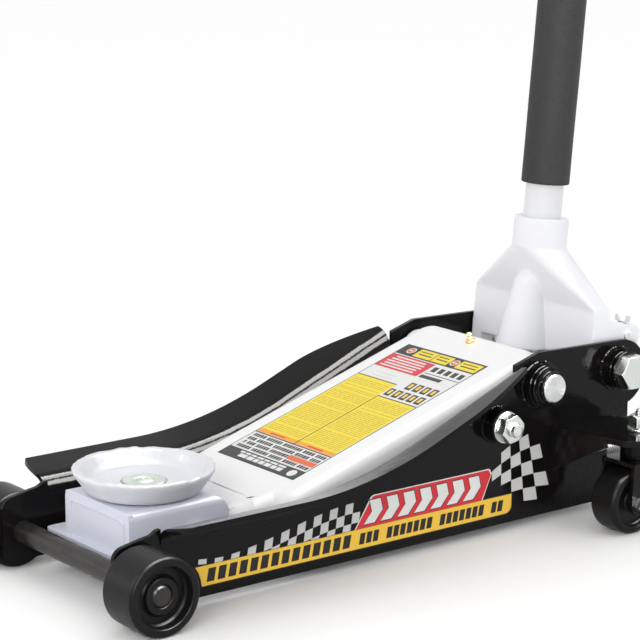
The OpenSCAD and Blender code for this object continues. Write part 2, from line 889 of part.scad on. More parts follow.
module handle_socket() {
    half = socket_w / 2;
    color(paint_white) difference() {
        in_socket() union() {
            translate([wall_x[0], -half, 6]) cube([wall_x[1] - wall_x[0], socket_w, roof_z - 6]);
            hull() {
                translate([wall_x[0], -half, roof_z - 1]) cube([wall_x[1] - wall_x[0], socket_w, 1]);
                translate([tube_x, 0, collar_z[0]]) cylinder(d = collar_d - 1, h = 1, $fn = 40);
            }
            translate([tube_x, 0, collar_z[0]]) cylinder(d = collar_d, h = collar_z[1] - collar_z[0]);
            translate([rib_x, 0, 6]) cylinder(r1 = 27, r2 = 15, h = 60);
            translate([rib_x, 0, 66]) sphere(r = 15);
            both_sides() slab(half - 14, half) polygon(concat(
                [[wall_x[0], roof_z], [wall_x[0], -4]],
                arc([0, 0], 24, 200, 320, 10),
                [[33, 4], [35, 34], [32.5, 38], [28, 39.8]],
                [[-6, 44], [wall_x[1], roof_z]]
            ));
        }
        in_socket() translate([tube_x, 0, tube_foot_z]) cylinder(d = tube_d + 2 * fit, h = 60);
        in_socket() translate([tube_x, 0, 0]) cylinder(d = stub_d + 1, h = tube_foot_z + 1);
        place() cross_bar(socket_pivot, socket_bolt_d + 2 * fit, -half - 1, half + 1);
        place() cross_bar(roller_at, 12 + 2 * fit, -half - 1, half + 1);
        in_socket() both_sides() {
            translate([lug_screw_x, half - 8, 34]) cylinder(d = 8 + 2 * fit, h = 30);
            cross_bar(lug_pin, 7 + 2 * fit, half - 15, half + 1);
        }
    }
}

module socket_lug_screws() {
    color(zinc) in_socket() both_sides() {
        cross_bar(lug_pin, 7, socket_w / 2 - 12, socket_w / 2 + 1);
        translate([lug_screw_x, socket_w / 2 - 8, 34.5]) cylinder(d = 8, h = 10);
        translate([lug_screw_x, socket_w / 2 - 8, 42.7]) rotate([0, 7, 0]) cylinder(d = 15.5, h = 6, $fn = 6);
    }
}

module roller_pin() {
    color(steel) place() cross_bar(roller_at, 12, -socket_w / 2 + 0.5, socket_w / 2 - 0.5);
}

module cam_roller() {
    color(steel) place() difference() {
        cross_bar(roller_at, roller_d, pump_at[1] - 11, pump_at[1] + 11);
        cross_bar(roller_at, 12 + 2 * fit, pump_at[1] - 12, pump_at[1] + 12);
    }
}

// Handle, in the socket's own frame
tube_wall = 2.5;
spigot_d = tube_d - 2 * tube_wall - 2 * fit;

module handle_lower_tube() {
    color(paint_white) in_socket() translate([tube_x, 0, 0]) difference() {
        union() {
            translate([0, 0, tube_foot_z + 0.2]) cylinder(d = tube_d, h = joint_z - tube_foot_z);
            translate([0, 0, 4]) cylinder(d = stub_d, h = tube_foot_z);
            translate([-3.5, -8, 0]) cube([7, 16, 6]);
        }
        translate([0, 0, tube_foot_z + 20]) cylinder(d = tube_d - 2 * tube_wall, h = joint_z);
        translate([0, 0, joint_z - 30]) rotate([90, 0, 0]) cylinder(d = 8 + 2 * fit, h = tube_d);
    }
}

module handle_upper_tube() {
    color(paint_white) in_socket() translate([tube_x, 0, 0]) difference() {
        union() {
            translate([0, 0, joint_z + 0.4]) cylinder(d = tube_d, h = handle_top_z - joint_z - 6);
            translate([0, 0, joint_z - 60]) cylinder(d = spigot_d, h = 62);
        }
        translate([0, 0, joint_z - 61]) cylinder(d = spigot_d - 5, h = handle_top_z);
        translate([0, 0, joint_z - 30]) rotate([90, 0, 0]) cylinder(d = 8 + 2 * fit, h = tube_d);
    }
}

module tube_lock_button() {
    color(zinc) in_socket() translate([tube_x, -tube_d / 2 - 1.5, joint_z - 30]) rotate([-90, 0, 0])
        cylinder(d = 8, h = 8);
}

module foam_sleeve() {
    color(plastic_black) in_socket() translate([tube_x, 0, foam_z[0]]) difference() {
        cylinder(d = foam_d, h = foam_z[1] - foam_z[0]);
        translate([0, 0, -1]) cylinder(d = tube_d + 2 * fit, h = foam_z[1]);
    }
}

module hand_grip() {
    color(plastic_black) in_socket() translate([tube_x, 0, 0]) difference() {
        translate([0, 0, handle_top_z - grip_len]) cylinder(d = grip_d, h = grip_len);
        translate([0, 0, handle_top_z - grip_len - 1]) cylinder(d = tube_d + 2 * fit, h = grip_len - 4.5);
    }
}

side_plate_left();
side_plate_right();
frame_cross_tube();
front_axle();
axle_retaining_rings();
front_wheel_left();
front_wheel_right();
cylinder_head();
reservoir_tube();
ram_cylinder();
pump_block();
oil_filler_plug();
spring_anchor_studs();
arm_pivot_pin();
arm_pin_collars();
rod_pivot_bolts();
rod_pivot_nuts();
socket_pivot_bolts();
socket_pivot_washers();
caster_plate_left();
caster_plate_right();
lift_arm();
arm_lever();
lever_pin();
grease_nipple();
head_bracket();
head_pivot_pin();
rod_front_pin();
saddle();
saddle_screw();
radius_rod_left();
radius_rod_right();
ram();
crosshead();
spring_cross_pin();
return_spring_left();
return_spring_right();
pump_piston();
pump_spring();
release_valve();
handle_socket();
socket_lug_screws();
roller_pin();
cam_roller();
handle_lower_tube();
handle_upper_tube();
foam_sleeve();
hand_grip();
tube_lock_button();
caster_fork_left();
caster_fork_right();
caster_wheel_left();
caster_wheel_right();
caster_axle_left();
caster_axle_right();
caster_kingpins();
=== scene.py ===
"""Looks of a hydraulic floor jack: gloss black frame, white arm, head and handle socket, zinc hardware.

Lengths in this script are millimetres measured from the front axle: X towards the handle, Z up from the
floor, Y = 0 on the centre plane. at() turns them into the frame's metres.
"""
import json
from math import atan2, cos, hypot, pi, radians, sin, sqrt, tan
import random

import bmesh
import bpy
from mathutils import Matrix, Vector, noise

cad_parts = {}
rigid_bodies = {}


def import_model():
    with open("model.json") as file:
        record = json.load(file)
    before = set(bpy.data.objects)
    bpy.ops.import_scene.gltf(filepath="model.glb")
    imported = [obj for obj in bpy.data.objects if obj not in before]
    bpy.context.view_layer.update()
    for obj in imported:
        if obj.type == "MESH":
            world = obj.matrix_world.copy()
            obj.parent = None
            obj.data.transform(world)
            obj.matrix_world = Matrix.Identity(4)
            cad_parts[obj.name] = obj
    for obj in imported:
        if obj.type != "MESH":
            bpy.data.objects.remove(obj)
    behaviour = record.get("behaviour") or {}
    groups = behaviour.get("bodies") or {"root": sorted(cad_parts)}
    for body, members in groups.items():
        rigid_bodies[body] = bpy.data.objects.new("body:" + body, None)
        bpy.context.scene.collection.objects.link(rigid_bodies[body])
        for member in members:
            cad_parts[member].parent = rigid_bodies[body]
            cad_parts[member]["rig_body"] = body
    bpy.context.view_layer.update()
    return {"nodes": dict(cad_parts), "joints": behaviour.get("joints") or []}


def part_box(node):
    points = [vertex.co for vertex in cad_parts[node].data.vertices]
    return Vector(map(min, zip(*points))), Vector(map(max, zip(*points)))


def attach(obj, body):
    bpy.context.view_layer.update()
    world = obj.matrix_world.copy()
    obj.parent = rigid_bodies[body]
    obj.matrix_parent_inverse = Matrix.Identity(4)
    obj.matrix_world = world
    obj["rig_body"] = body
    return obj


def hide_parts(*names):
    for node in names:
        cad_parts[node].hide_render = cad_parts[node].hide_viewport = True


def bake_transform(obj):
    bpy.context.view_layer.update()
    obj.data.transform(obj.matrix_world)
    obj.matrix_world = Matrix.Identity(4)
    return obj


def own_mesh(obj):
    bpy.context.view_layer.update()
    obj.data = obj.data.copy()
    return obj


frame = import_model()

MM = 0.001
JOINTS = {j["name"]: j for j in frame["joints"]}
AXLE_X = sum(c.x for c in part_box("front_axle")) / 2


def at(x, y, z):
    """A place in the frame's metres, from this script's millimetres."""
    return Vector((AXLE_X + x * MM, y * MM, z * MM))


def local(x, y, z):
    """A place in metres in a piece's own axes."""
    return Vector((x, y, z)) * MM


def joint_xz(name):
    """A joint's place as (x, z) in this script's millimetres."""
    x, _, z = JOINTS[name]["pos_m"]
    return (x - AXLE_X) / MM, z / MM


def extent(node):
    """A node's box as ((x0, y0, z0), (x1, y1, z1)) in this script's millimetres."""
    low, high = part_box(node)
    return tuple(((c.x - AXLE_X) / MM, c.y / MM, c.z / MM) for c in (low, high))


ARM = joint_xz("arm_lift")
HEAD = joint_xz("head_level")
SOCKET = joint_xz("handle_pump")
ROD = joint_xz("rod_swing")
WHEEL_R = JOINTS["wheel_left_spin"]["pos_m"][2] / MM
SIDES = (("left", -1), ("right", 1))

# ---- materials

MATERIALS = {}
NOISE_RANGE = (0.3, 0.7)  # nearly all values of Blender's noise lie in it
COAT_ROUGHNESS = 0.06
LEAST_ROUGHNESS = 0.02
GLOSS_SCALE = 2.5  # patches of gloss are this much finer than patches of tone


def set_inputs(node, values):
    for key, value in values.items():
        node.inputs[key].default_value = value


def add_node(tree, kind, values, links):
    """A shader node with its input values and what is linked into it."""
    node = tree.nodes.new("ShaderNode" + kind)
    set_inputs(node, values)
    for key, output in links.items():
        tree.links.new(output, node.inputs[key])
    return node


def link_noise(tree, coords, scale, detail=3.0):
    return add_node(tree, "TexNoise", {"Scale": scale, "Detail": detail}, {"Vector": coords}).outputs["Fac"]


def remap(tree, value, low, high):
    """Spreads a noise value evenly from low to high."""
    limits = {"From Min": NOISE_RANGE[0], "From Max": NOISE_RANGE[1], "To Min": low, "To Max": high}
    return add_node(tree, "MapRange", limits, {"Value": value}).outputs["Result"]


def two_tone(tree, value, first, second):
    mix = tree.nodes.new("ShaderNodeMix")
    mix.data_type = "RGBA"
    set_inputs(mix, {"A": (*first, 1), "B": (*second, 1)})
    tree.links.new(value, mix.inputs["Factor"])
    return mix.outputs["Result"]


def bumped(tree, height, distance, strength=1.0, below=None):
    """Height as a bumped normal, on top of the normal below it."""
    links = {"Height": height} if below is None else {"Height": height, "Normal": below}
    return add_node(tree, "Bump", {"Distance": distance, "Strength": strength}, links).outputs["Normal"]


def new_material(name):
    mat = bpy.data.materials.new(name)
    mat.use_nodes = True
    return mat, mat.node_tree, mat.node_tree.nodes["Principled BSDF"]


def finish_of(name, colour, rough, metallic=0.0, coat=0.0, specular=0.5, vary=0.06, tone_scale=25,
              rough_vary=0.06, grain=400, grain_depth=0.00006, ripple=0.0, ripple_scale=60, tint=(1, 1, 1),
              extra=None):
    """A painted, plated or moulded finish: two close tones, uneven gloss, fine grain and a soft ripple."""
    mat, tree, shader = new_material(name)
    set_inputs(shader, {"Metallic": metallic, "Coat Weight": coat, "Coat Roughness": COAT_ROUGHNESS,
                        "Specular IOR Level": specular})
    coords = tree.nodes.new("ShaderNodeTexCoord").outputs["Object"]
    darker = tuple(c * (1 - vary) * t for c, t in zip(colour, tint))
    lighter = tuple(min(c * (1 + vary), 1) for c in colour)
    tone = two_tone(tree, link_noise(tree, coords, tone_scale), darker, lighter)
    tree.links.new(tone, shader.inputs["Base Color"])
    patchy = link_noise(tree, coords, tone_scale * GLOSS_SCALE, 5)
    uneven = remap(tree, patchy, max(rough - rough_vary, LEAST_ROUGHNESS), rough + rough_vary)
    tree.links.new(uneven, shader.inputs["Roughness"])
    normal = bumped(tree, link_noise(tree, coords, grain), grain_depth)
    if ripple:
        normal = bumped(tree, link_noise(tree, coords, ripple_scale, 1), ripple, below=normal)
    if extra:
        normal = extra(tree, coords, normal)
    tree.links.new(normal, shader.inputs["Normal"])
    MATERIALS[name] = mat


def lathe_marks(tree, coords, normal):
    """Fine rings round a turned piece's own Z axis."""
    wave = add_node(tree, "TexWave", {"Scale": 600, "Distortion": 0.6}, {"Vector": coords})
    wave.wave_type = "RINGS"
    wave.rings_direction = "Z"
    return bumped(tree, wave.outputs["Fac"], 0.00004, 0.7, below=normal)


def foam_cells(tree, coords, normal):
    cells = add_node(tree, "TexVoronoi", {"Scale": 900}, {"Vector": coords})
    return bumped(tree, cells.outputs["Distance"], 0.0003, 0.8, below=normal)


def print_screen(tree, coords, normal):
    """The faint tooth of a printed vinyl label."""
    return bumped(tree, link_noise(tree, coords, 1500, 1), 0.00002, 0.6, below=normal)


finish_of("gloss_black", (0.0062, 0.0054, 0.0056), 0.10, specular=0.13, rough_vary=0.025, ripple=0.0003,
          ripple_scale=45)
finish_of("gloss_white", (0.82, 0.82, 0.83), 0.34, specular=0.08, vary=0.012, rough_vary=0.02)
# The tubes' white: the arm's white paint made darker and a little bluer, painted shade on the handle tubes.
finish_of("tube_white", (0.69, 0.695, 0.725), 0.32, specular=0.25, vary=0.012, rough_vary=0.02)
# The head's white: the arm's white paint made darker and bluer, painted shade of the head's front, also used
# on its welds.
finish_of("head_white", (0.62, 0.645, 0.73), 0.32, coat=0.05, specular=0.2, vary=0.014, rough_vary=0.02)
# The socket's white: the white paint with its brightness and blue tint set to the light on the socket's
# front, painted light and shade.
finish_of("socket_white_painted_light", (0.77, 0.775, 0.81), 0.5, specular=0.06, vary=0.012, grain=260, grain_depth=0.0001,
          ripple=0.0004, ripple_scale=60)
# The saddle's white: the white paint made darker and lavender, painted bluish shade of the saddle's outer
# wall; its grain and ripple are the casting's own.
finish_of("cast_white", (0.66, 0.67, 0.71), 0.36, coat=0.08, specular=0.25, vary=0.02, rough_vary=0.03,
          grain=260, grain_depth=0.0002, ripple=0.0005, ripple_scale=90)
finish_of("satin_black", (0.0065, 0.0062, 0.0066), 0.34, specular=0.14, vary=0.15, grain=500,
          grain_depth=0.0001)
finish_of("axle_black", (0.014, 0.0125, 0.0115), 0.33, specular=0.35, vary=0.3, grain=350, rough_vary=0.12,
          tint=(1.0, 0.92, 0.84))
finish_of("zinc", (0.62, 0.64, 0.63), 0.25, metallic=1, vary=0.10, rough_vary=0.1, grain=700,
          tint=(0.96, 1.0, 0.95))
finish_of("dull_zinc", (0.36, 0.41, 0.38), 0.5, metallic=0.25, specular=0.25, vary=0.1, grain=700)
finish_of("turned_steel", (0.62, 0.63, 0.64), 0.26, metallic=1, vary=0.1, rough_vary=0.1, extra=lathe_marks)
finish_of("drawn_steel", (0.50, 0.51, 0.53), 0.33, metallic=1, vary=0.16, rough_vary=0.12, grain=900)
finish_of("spring_steel", (0.20, 0.20, 0.21), 0.38, metallic=1, vary=0.25, rough_vary=0.12, grain=900)
finish_of("chrome", (0.80, 0.81, 0.83), 0.09, metallic=1, vary=0.03, rough_vary=0.03)
finish_of("brass", (0.76, 0.53, 0.24), 0.28, metallic=1, vary=0.14, rough_vary=0.1, grain=800)
finish_of("foam", (0.024, 0.0235, 0.026), 0.62, specular=0.22, vary=0.22, tone_scale=90, extra=foam_cells)
finish_of("grip_rubber", (0.020, 0.020, 0.021), 0.66, specular=0.35, vary=0.2, grain=900, grain_depth=0.0002)
INKS = {"yellow": (0.80, 0.63, 0.015), "gold": (0.84, 0.53, 0.055), "fine": (0.50, 0.33, 0.012),
        "red": (0.62, 0.022, 0.035), "orange": (0.70, 0.12, 0.02), "amber": (0.80, 0.33, 0.01),
        "white": (0.72, 0.72, 0.71), "grey": (0.56, 0.56, 0.55), "dark": (0.012, 0.012, 0.012),
        "slate": (0.022, 0.022, 0.024)}
for ink, tone in INKS.items():
    finish_of("ink_" + ink, tone, 0.38, specular=0.3, vary=0.05, tone_scale=140, grain=1200,
              grain_depth=0.00002, extra=print_screen)

# ---- mesh tools

ON_AXIS = 1e-6  # a profile point with a smaller radius lies on the axis
HEX_RIM = 0.96  # radius of a hexagon's chamfered rim, as a share of its inner radius
BAR_SIDES = 8
WELD_OWN, WELD_CAD = 1e-6, 2e-6  # metres within which points are merged
FLAT_ANGLE = 0.6  # CAD facets within this many degrees become one face


def arc(cx, cy, r, start, end, steps):
    """Points of an arc, in degrees, as (x, y)."""
    angles = [radians(start + (end - start) * i / steps) for i in range(steps + 1)]
    return [(cx + r * cos(a), cy + r * sin(a)) for a in angles]


def add_loop_faces(bm, rings, closed_rings=True, caps=True):
    """Joins rings of vertices with the same count into a skin."""
    for a, b in zip(rings, rings[1:]):
        n = len(a)
        for i in range(n if closed_rings else n - 1):
            j = (i + 1) % n
            bm.faces.new((a[i], a[j], b[j], b[i]))
    if caps:
        bm.faces.new(list(reversed(rings[0])))
        bm.faces.new(rings[-1])


def add_prism(bm, outline, low, high, frame_of):
    """A closed prism over an outline of (u, v) points; frame_of(u, v, w) gives the place."""
    rings = [[bm.verts.new(frame_of(u, v, w)) for u, v in outline] for w in (low, high)]
    add_loop_faces(bm, rings)


def add_lathe(bm, profile, segments, radius_of=None, frame_of=local):
    """Turns a closed profile of (r, z) points round the local Z axis; radius_of may shift each point."""
    rings = []
    for k in range(segments):
        a = radians(360.0 * k / segments)
        ring = []
        for r, z in profile:
            r2, z2 = radius_of(r, z, a) if radius_of else (r, z)
            ring.append(bm.verts.new(frame_of(r2 * cos(a), r2 * sin(a), z2)))
        rings.append(ring)
    for k in range(segments):
        a, b = rings[k], rings[(k + 1) % segments]
        for i in range(len(profile)):
            j = (i + 1) % len(profile)
            if profile[i][0] > ON_AXIS or profile[j][0] > ON_AXIS:
                bm.faces.new((a[i], b[i], b[j], a[j]))


def add_hex(bm, across, z0, z1, frame_of, turn, chamfers):
    """A hexagon with the curved corner chamfers of a real nut or bolt head, at either end or both."""
    flat = across / 2
    rim = flat * HEX_RIM
    slope = tan(radians(30))
    per_flat = 8
    rings = [[] for _ in range(4)]
    for k in range(6 * per_flat):
        a = 2 * pi * k / (6 * per_flat)
        r = flat / cos((a % (pi / 3)) - pi / 6)
        b = a + radians(turn)
        drop = (r - rim) * slope
        low, high = (drop if wanted else 0 for wanted in chamfers)
        levels = ((rim, z0), (r, z0 + low), (r, z1 - high), (rim, z1))
        for ring, (radius, z) in zip(rings, levels):
            ring.append(bm.verts.new(frame_of(radius * cos(b), radius * sin(b), z)))
    add_loop_faces(bm, rings)


def add_sweep(bm, points, radius, closed=False):
    """A round bar along points in metres; radius is in millimetres, a number or a function of arc length."""
    n = len(points)
    up = Vector((0.137, 0.271, 1)).normalized()  # few bars run along it, and those use X instead
    rings, length = [], 0.0
    for i, p in enumerate(points):
        if i:
            length += (p - points[i - 1]).length / MM
        ahead = points[(i + 1) % n] if closed or i < n - 1 else p
        behind = points[i - 1] if closed or i else p
        tangent = (ahead - behind).normalized()
        side = tangent.cross(up)
        if side.length < 0.2:
            side = tangent.cross(Vector((1, 0, 0)))
        side.normalize()
        other = tangent.cross(side)
        r = (radius(length) if callable(radius) else radius) * MM
        rings.append([bm.verts.new(p + (side * cos(a) + other * sin(a)) * r)
                      for a in (2 * pi * k / BAR_SIDES for k in range(BAR_SIDES))])
    if closed:
        rings.append(rings[0])
    add_loop_faces(bm, rings, caps=not closed)


def bead(seed, size=1.7):
    """Radius of a weld bead at s along its length: overlapping ripples of uneven size."""
    ripple, rate = 0.13, 2.6
    lumps, lump_rate = 0.22, 0.21
    return lambda s: size * (1 + ripple * sin(s * rate)
                             + lumps * noise.noise(Vector((s * lump_rate, seed, 0))))


def round_edges(bm, width, limit):
    """Bevels the edges that fold by more than limit degrees."""
    edges = [e for e in bm.edges if len(e.link_faces) == 2 and e.calc_face_angle(0) > radians(limit)]
    if edges and width:
        bmesh.ops.bevel(bm, geom=edges, offset=width * MM, offset_type="OFFSET", segments=2, profile=0.5,
                        affect="EDGES", clamp_overlap=True)


def mesh_of(name, bm):
    mesh = bpy.data.meshes.new(name)
    bm.to_mesh(mesh)
    bm.free()
    return mesh


def add_object(name, data):
    obj = bpy.data.objects.new(name, data)
    bpy.context.scene.collection.objects.link(obj)
    return obj


def piece(name, bm, material, body, node, stands_in=True, matrix=None, bevel=0.0, sharp=35, limit=32,
          weld=True):
    """Makes the object: cleans the mesh, rounds its edges, sets its finish and what it rides on.

    It replaces the node unless stands_in is False.
    """
    if weld:
        bmesh.ops.remove_doubles(bm, verts=bm.verts, dist=WELD_OWN)
    bmesh.ops.recalc_face_normals(bm, faces=bm.faces)
    round_edges(bm, bevel, limit)
    for face in bm.faces:
        face.smooth = True
    for edge in bm.edges:
        edge.smooth = not (len(edge.link_faces) == 2 and edge.calc_face_angle(0) > radians(sharp))
    mesh = mesh_of(name, bm)
    for mat in material if isinstance(material, (list, tuple)) else [material]:
        mesh.materials.append(MATERIALS[mat])
    obj = add_object(name, mesh)
    if matrix is not None:
        obj.matrix_world = matrix
    weighted = obj.modifiers.new("even_normals", "WEIGHTED_NORMAL")
    weighted.keep_sharp = True
    if body:
        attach(obj, body)
    if stands_in:
        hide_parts(node)
    return obj


def axis_matrix(centre, axis):
    """A frame at centre whose local Z runs along axis."""
    return Matrix.Translation(centre) @ Vector(axis).to_track_quat("Z", "Y").to_matrix().to_4x4()


def finished(node, material, bevel, limit=32):
    """The CAD node's own shape as clean faces with rounded edges."""
    source = frame["nodes"][node]
    bm = bmesh.new()
    bm.from_mesh(source.data)
    bmesh.ops.remove_doubles(bm, verts=bm.verts, dist=WELD_CAD)
    bmesh.ops.dissolve_limit(bm, angle_limit=radians(FLAT_ANGLE), verts=bm.verts, edges=bm.edges)
    piece(node + "_finished", bm, material, source["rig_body"], node, bevel=bevel, limit=limit)


# ---- side plates

(_, WEB_IN, ground), (_, flange_y1, _) = extent("side_plate_right")
PLATE_T = 4.5
WEB_OUT = WEB_IN + PLATE_T
BEND_R = 18.0
RISE = 14.0  # degrees by which the flange rises outwards
SHOULDER_Z = 81.0
FLANGE_X = (26.0, 425.0)
TAPER_X = 340.0  # the flange's outer edge draws in behind it
REAR_X = 548.0
FOOT_R = 8.0  # the web's lower corners
CORNER = 5.0
RAMP_X, RAMP_RUN, RAMP_SLOPE = 150.0, 152.0, 0.402
ROD_BOSS, SOCKET_BOSS = 14.0, 8.0
BOSSES = ((ROD, 16, ROD_BOSS), (ARM, 21, 6), (SOCKET, 20, SOCKET_BOSS))  # centre, radius, height


def bend_z(x):
    """Height of the flange's bend above the floor: level, then a curve, then a straight ramp."""
    u = x - RAMP_X
    if u < 0:
        return SHOULDER_Z
    if u < RAMP_RUN:
        return SHOULDER_Z + RAMP_SLOPE * u * u / (2 * RAMP_RUN)
    return SHOULDER_Z + RAMP_SLOPE * (u - RAMP_RUN / 2)


def flange_y(x):
    """Distance of the flange's outer edge from the centre plane."""
    tip = WEB_OUT + BEND_R - 2
    front = (x - FLANGE_X[0]) / CORNER
    rear = (x - TAPER_X) / (FLANGE_X[1] - TAPER_X)
    if front < 1:
        return tip + (flange_y1 - tip) * sqrt(1 - (1 - front) ** 2)
    if rear > 0:
        return flange_y1 - (flange_y1 - tip) * rear ** 1.6
    return flange_y1


def flange_stations():
    """Places along X of the flange's cross-sections: close round its front corner, then even."""
    pitch, rear_steps = 8.5, 20
    front = [FLANGE_X[0] + CORNER * (1 - cos(radians(11.25 * i))) for i in range(9)]
    middle = [FLANGE_X[0] + CORNER + pitch * i for i in range(1, 37)]
    rear = [TAPER_X + (FLANGE_X[1] - TAPER_X) * i / rear_steps for i in range(rear_steps + 1)]
    return front + [x for x in middle if x < TAPER_X - 2] + rear


def build_side_plate(name, side):
    """The web with its bosses, the flange bent out of its top edge, and the weld beads round the bosses."""
    bm = bmesh.new()
    node = "side_plate_" + name
    stations = flange_stations()

    def put(x, y, z):
        return bm.verts.new(at(x, side * y, z))

    def crease(x):
        return bend_z(x) - BEND_R - PLATE_T + 1

    outline = arc(-13, ground + FOOT_R, FOOT_R, 270, 180, 8) + arc(-9, 57, 12, 180, 100, 10)
    tab = FLANGE_X[0] + 0.8
    outline += [(9, 72.5), (16, 73.4), (19.5, 75), (22.5, 77), (tab, 77.6), (tab, crease(tab) + 0.6)]
    outline += [(FLANGE_X[0], crease(tab) + 0.4)]
    fold_from = len(outline)
    outline += [(x, crease(x)) for x in stations]
    fold_to = len(outline)
    outline += [(FLANGE_X[1] + 1.5, crease(FLANGE_X[1]) - 2), (FLANGE_X[1] + 1.5, bend_z(FLANGE_X[1]) - 1)]
    outline += [(455, 168.5)] + arc(SOCKET[0] + 7, SOCKET[1] - 6, 32.5, 88, -100, 28) + [(REAR_X, 92)]
    outline += arc(REAR_X - FOOT_R, ground + FOOT_R, FOOT_R, 0, -90, 8)
    inner = [put(x, WEB_IN, z) for x, z in outline]
    outer = [put(x, WEB_OUT, z) for x, z in outline]
    bm.faces.new(inner)
    bm.faces.new(list(reversed(outer)))
    for i in range(len(outline)):
        j = (i + 1) % len(outline)
        if not fold_from <= i < fold_to - 1:
            bm.faces.new((inner[i], inner[j], outer[j], outer[i]))
    lip = 90 + RISE
    slope = radians(RISE)
    strips = []
    for k, x in enumerate(stations):
        cy, cz = WEB_OUT + BEND_R, crease(x)
        over = arc(cy, cz, BEND_R + PLATE_T, 180, lip, 10)[1:]
        under = arc(cy, cz, BEND_R, 180, lip, 10)[1:]
        run = (flange_y(x) - over[-1][0]) / cos(slope)
        for edge in (over, under):
            y, z = edge[-1]
            edge += [(y + run * cos(slope) * part, z + run * sin(slope) * part)
                     for part in (0.34, 0.67, 1.0)]
        ring = [inner[fold_from + k]] + [put(x, y, z) for y, z in over]
        ring += [put(x, y, z) for y, z in reversed(under)] + [outer[fold_from + k]]
        strips.append(ring)
    add_loop_faces(bm, strips, closed_rings=False)
    for centre, radius, height in BOSSES:
        steps = arc(centre[0], centre[1], radius, 0, 352.5, 47)
        add_prism(bm, steps, WEB_OUT - 1, WEB_OUT + height, lambda u, v, w: at(u, side * w, v))
    piece(node + "_pressing", bm, "gloss_black", "frame", node, bevel=0.7)
    welds = bmesh.new()
    for n, (centre, radius, _) in enumerate(BOSSES):
        circle = arc(centre[0], centre[1], radius + 0.6, 0, 357, 119)
        path = [at(x, side * (WEB_OUT + 0.4), z) for x, z in circle]
        add_sweep(welds, path, bead(n * 7.3 + side), closed=True)
    piece(node + "_welds", welds, "gloss_black", "frame", node, stands_in=False)


for label, side in SIDES:
    build_side_plate(label, side)

# ---- turned parts


def turned(name, profile, matrix, material, body, node, segments=96, radius_of=None, sharp=35, extras=()):
    """A profile turned round the matrix's Z axis; extras add shapes in the same axes."""
    bm = bmesh.new()
    add_lathe(bm, profile, segments, radius_of)
    for build in extras:
        build(bm, local)
    return piece(name, bm, material, body, node, matrix=matrix, sharp=sharp)


def lathe(profile, segments):
    """add_lathe, put off until the mesh and its axes are known."""
    return lambda bm, frame_of: add_lathe(bm, profile, segments, frame_of=frame_of)


def hexagon(across, z0, z1, turn=0, chamfers=(True, True)):
    """add_hex, put off in the same way."""
    return lambda bm, frame_of: add_hex(bm, across, z0, z1, frame_of, turn, chamfers)


def chamfered(r, z0, z1, c=0.6):
    """Profile of a solid bar with a small chamfer at each end."""
    return [(0, z0), (r - c, z0), (r, z0 + c), (r, z1 - c), (r - c, z1), (0, z1)]


def washer(r_in, r_out, z0, z1):
    """Profile of a flat washer with its outer edges eased."""
    c = 0.35
    return [(r_in, z0), (r_out - c, z0), (r_out, z0 + c), (r_out, z1 - c), (r_out - c, z1), (r_in, z1)]


def threaded(r, z0, z1, pitch=2.0, depth=0.9):
    """Profile of a bolt's threaded end, from z0 to z1, with a chamfered tip."""
    turns = int((z1 - z0 - 1.5) / pitch)
    root = r - depth
    points = [(0, z0)]
    for k in range(turns):
        points += [(root, z0 + pitch * (k + 0.05)), (r, z0 + pitch * (k + 0.45)), (r, z0 + pitch * (k + 0.6))]
    return points + [(root, z1 - 1.4), (root, z1 - 0.9), (r - 2.2, z1), (0, z1)]


axle_r, axle_end = extent("front_axle")[1][:2]
wheel_in, wheel_out = (corner[1] for corner in extent("front_wheel_right"))


def front_axle_profile():
    """Half the bar, with its end chamfer and the groove of its retaining ring, then the other half."""
    chamfer, groove, outer, inner = 2, 1, axle_end - 2.4, axle_end - 4
    half = [(0, -axle_end), (axle_r - chamfer, -axle_end), (axle_r, -axle_end + chamfer), (axle_r, -outer),
            (axle_r - groove, -outer), (axle_r - groove, -inner), (axle_r, -inner)]
    return half + [(r, -y) for r, y in reversed(half)]


def front_wheel_profile(width):
    """A plain tread and a dished outer face with a raised hub."""
    r, bore, hub = WHEEL_R, axle_r + 0.05, 16.5
    deep = width - 10
    face = [(bore, 1), (hub - 1, 1), (hub + 1.5, 4), (r - 10, 4), (r - 8.2, 1), (r - 7.5, 0)]
    face += arc(r - 2.5, 2.5, 2.5, -90, 0, 6) + arc(r - 3.5, width - 3.5, 3.5, 0, 90, 8)
    face += [(r - 7.4, width), (r - 8.0, width - 0.6), (r - 8.8, deep + 1.8), (r - 10.4, deep)]
    return face + [(hub + 2.2, deep), (hub + 0.6, deep + 1.2), (hub, deep + 3.6), (hub - 0.8, deep + 4.4),
                   (bore + 0.6, deep + 4.4), (bore, deep + 3.8)]


turned("front_axle_bar", front_axle_profile(), axis_matrix(at(0, 0, WHEEL_R), (0, 1, 0)), "axle_black",
       "frame", "front_axle", 64)
finished("axle_retaining_rings", "drawn_steel", 0.2)
for label, side in SIDES:
    node = "front_wheel_" + label
    turned(node + "_casting", front_wheel_profile(wheel_out - wheel_in),
           axis_matrix(at(0, side * wheel_in, WHEEL_R), (0, side, 0)), "satin_black", "wheel_" + label, node,
           120)

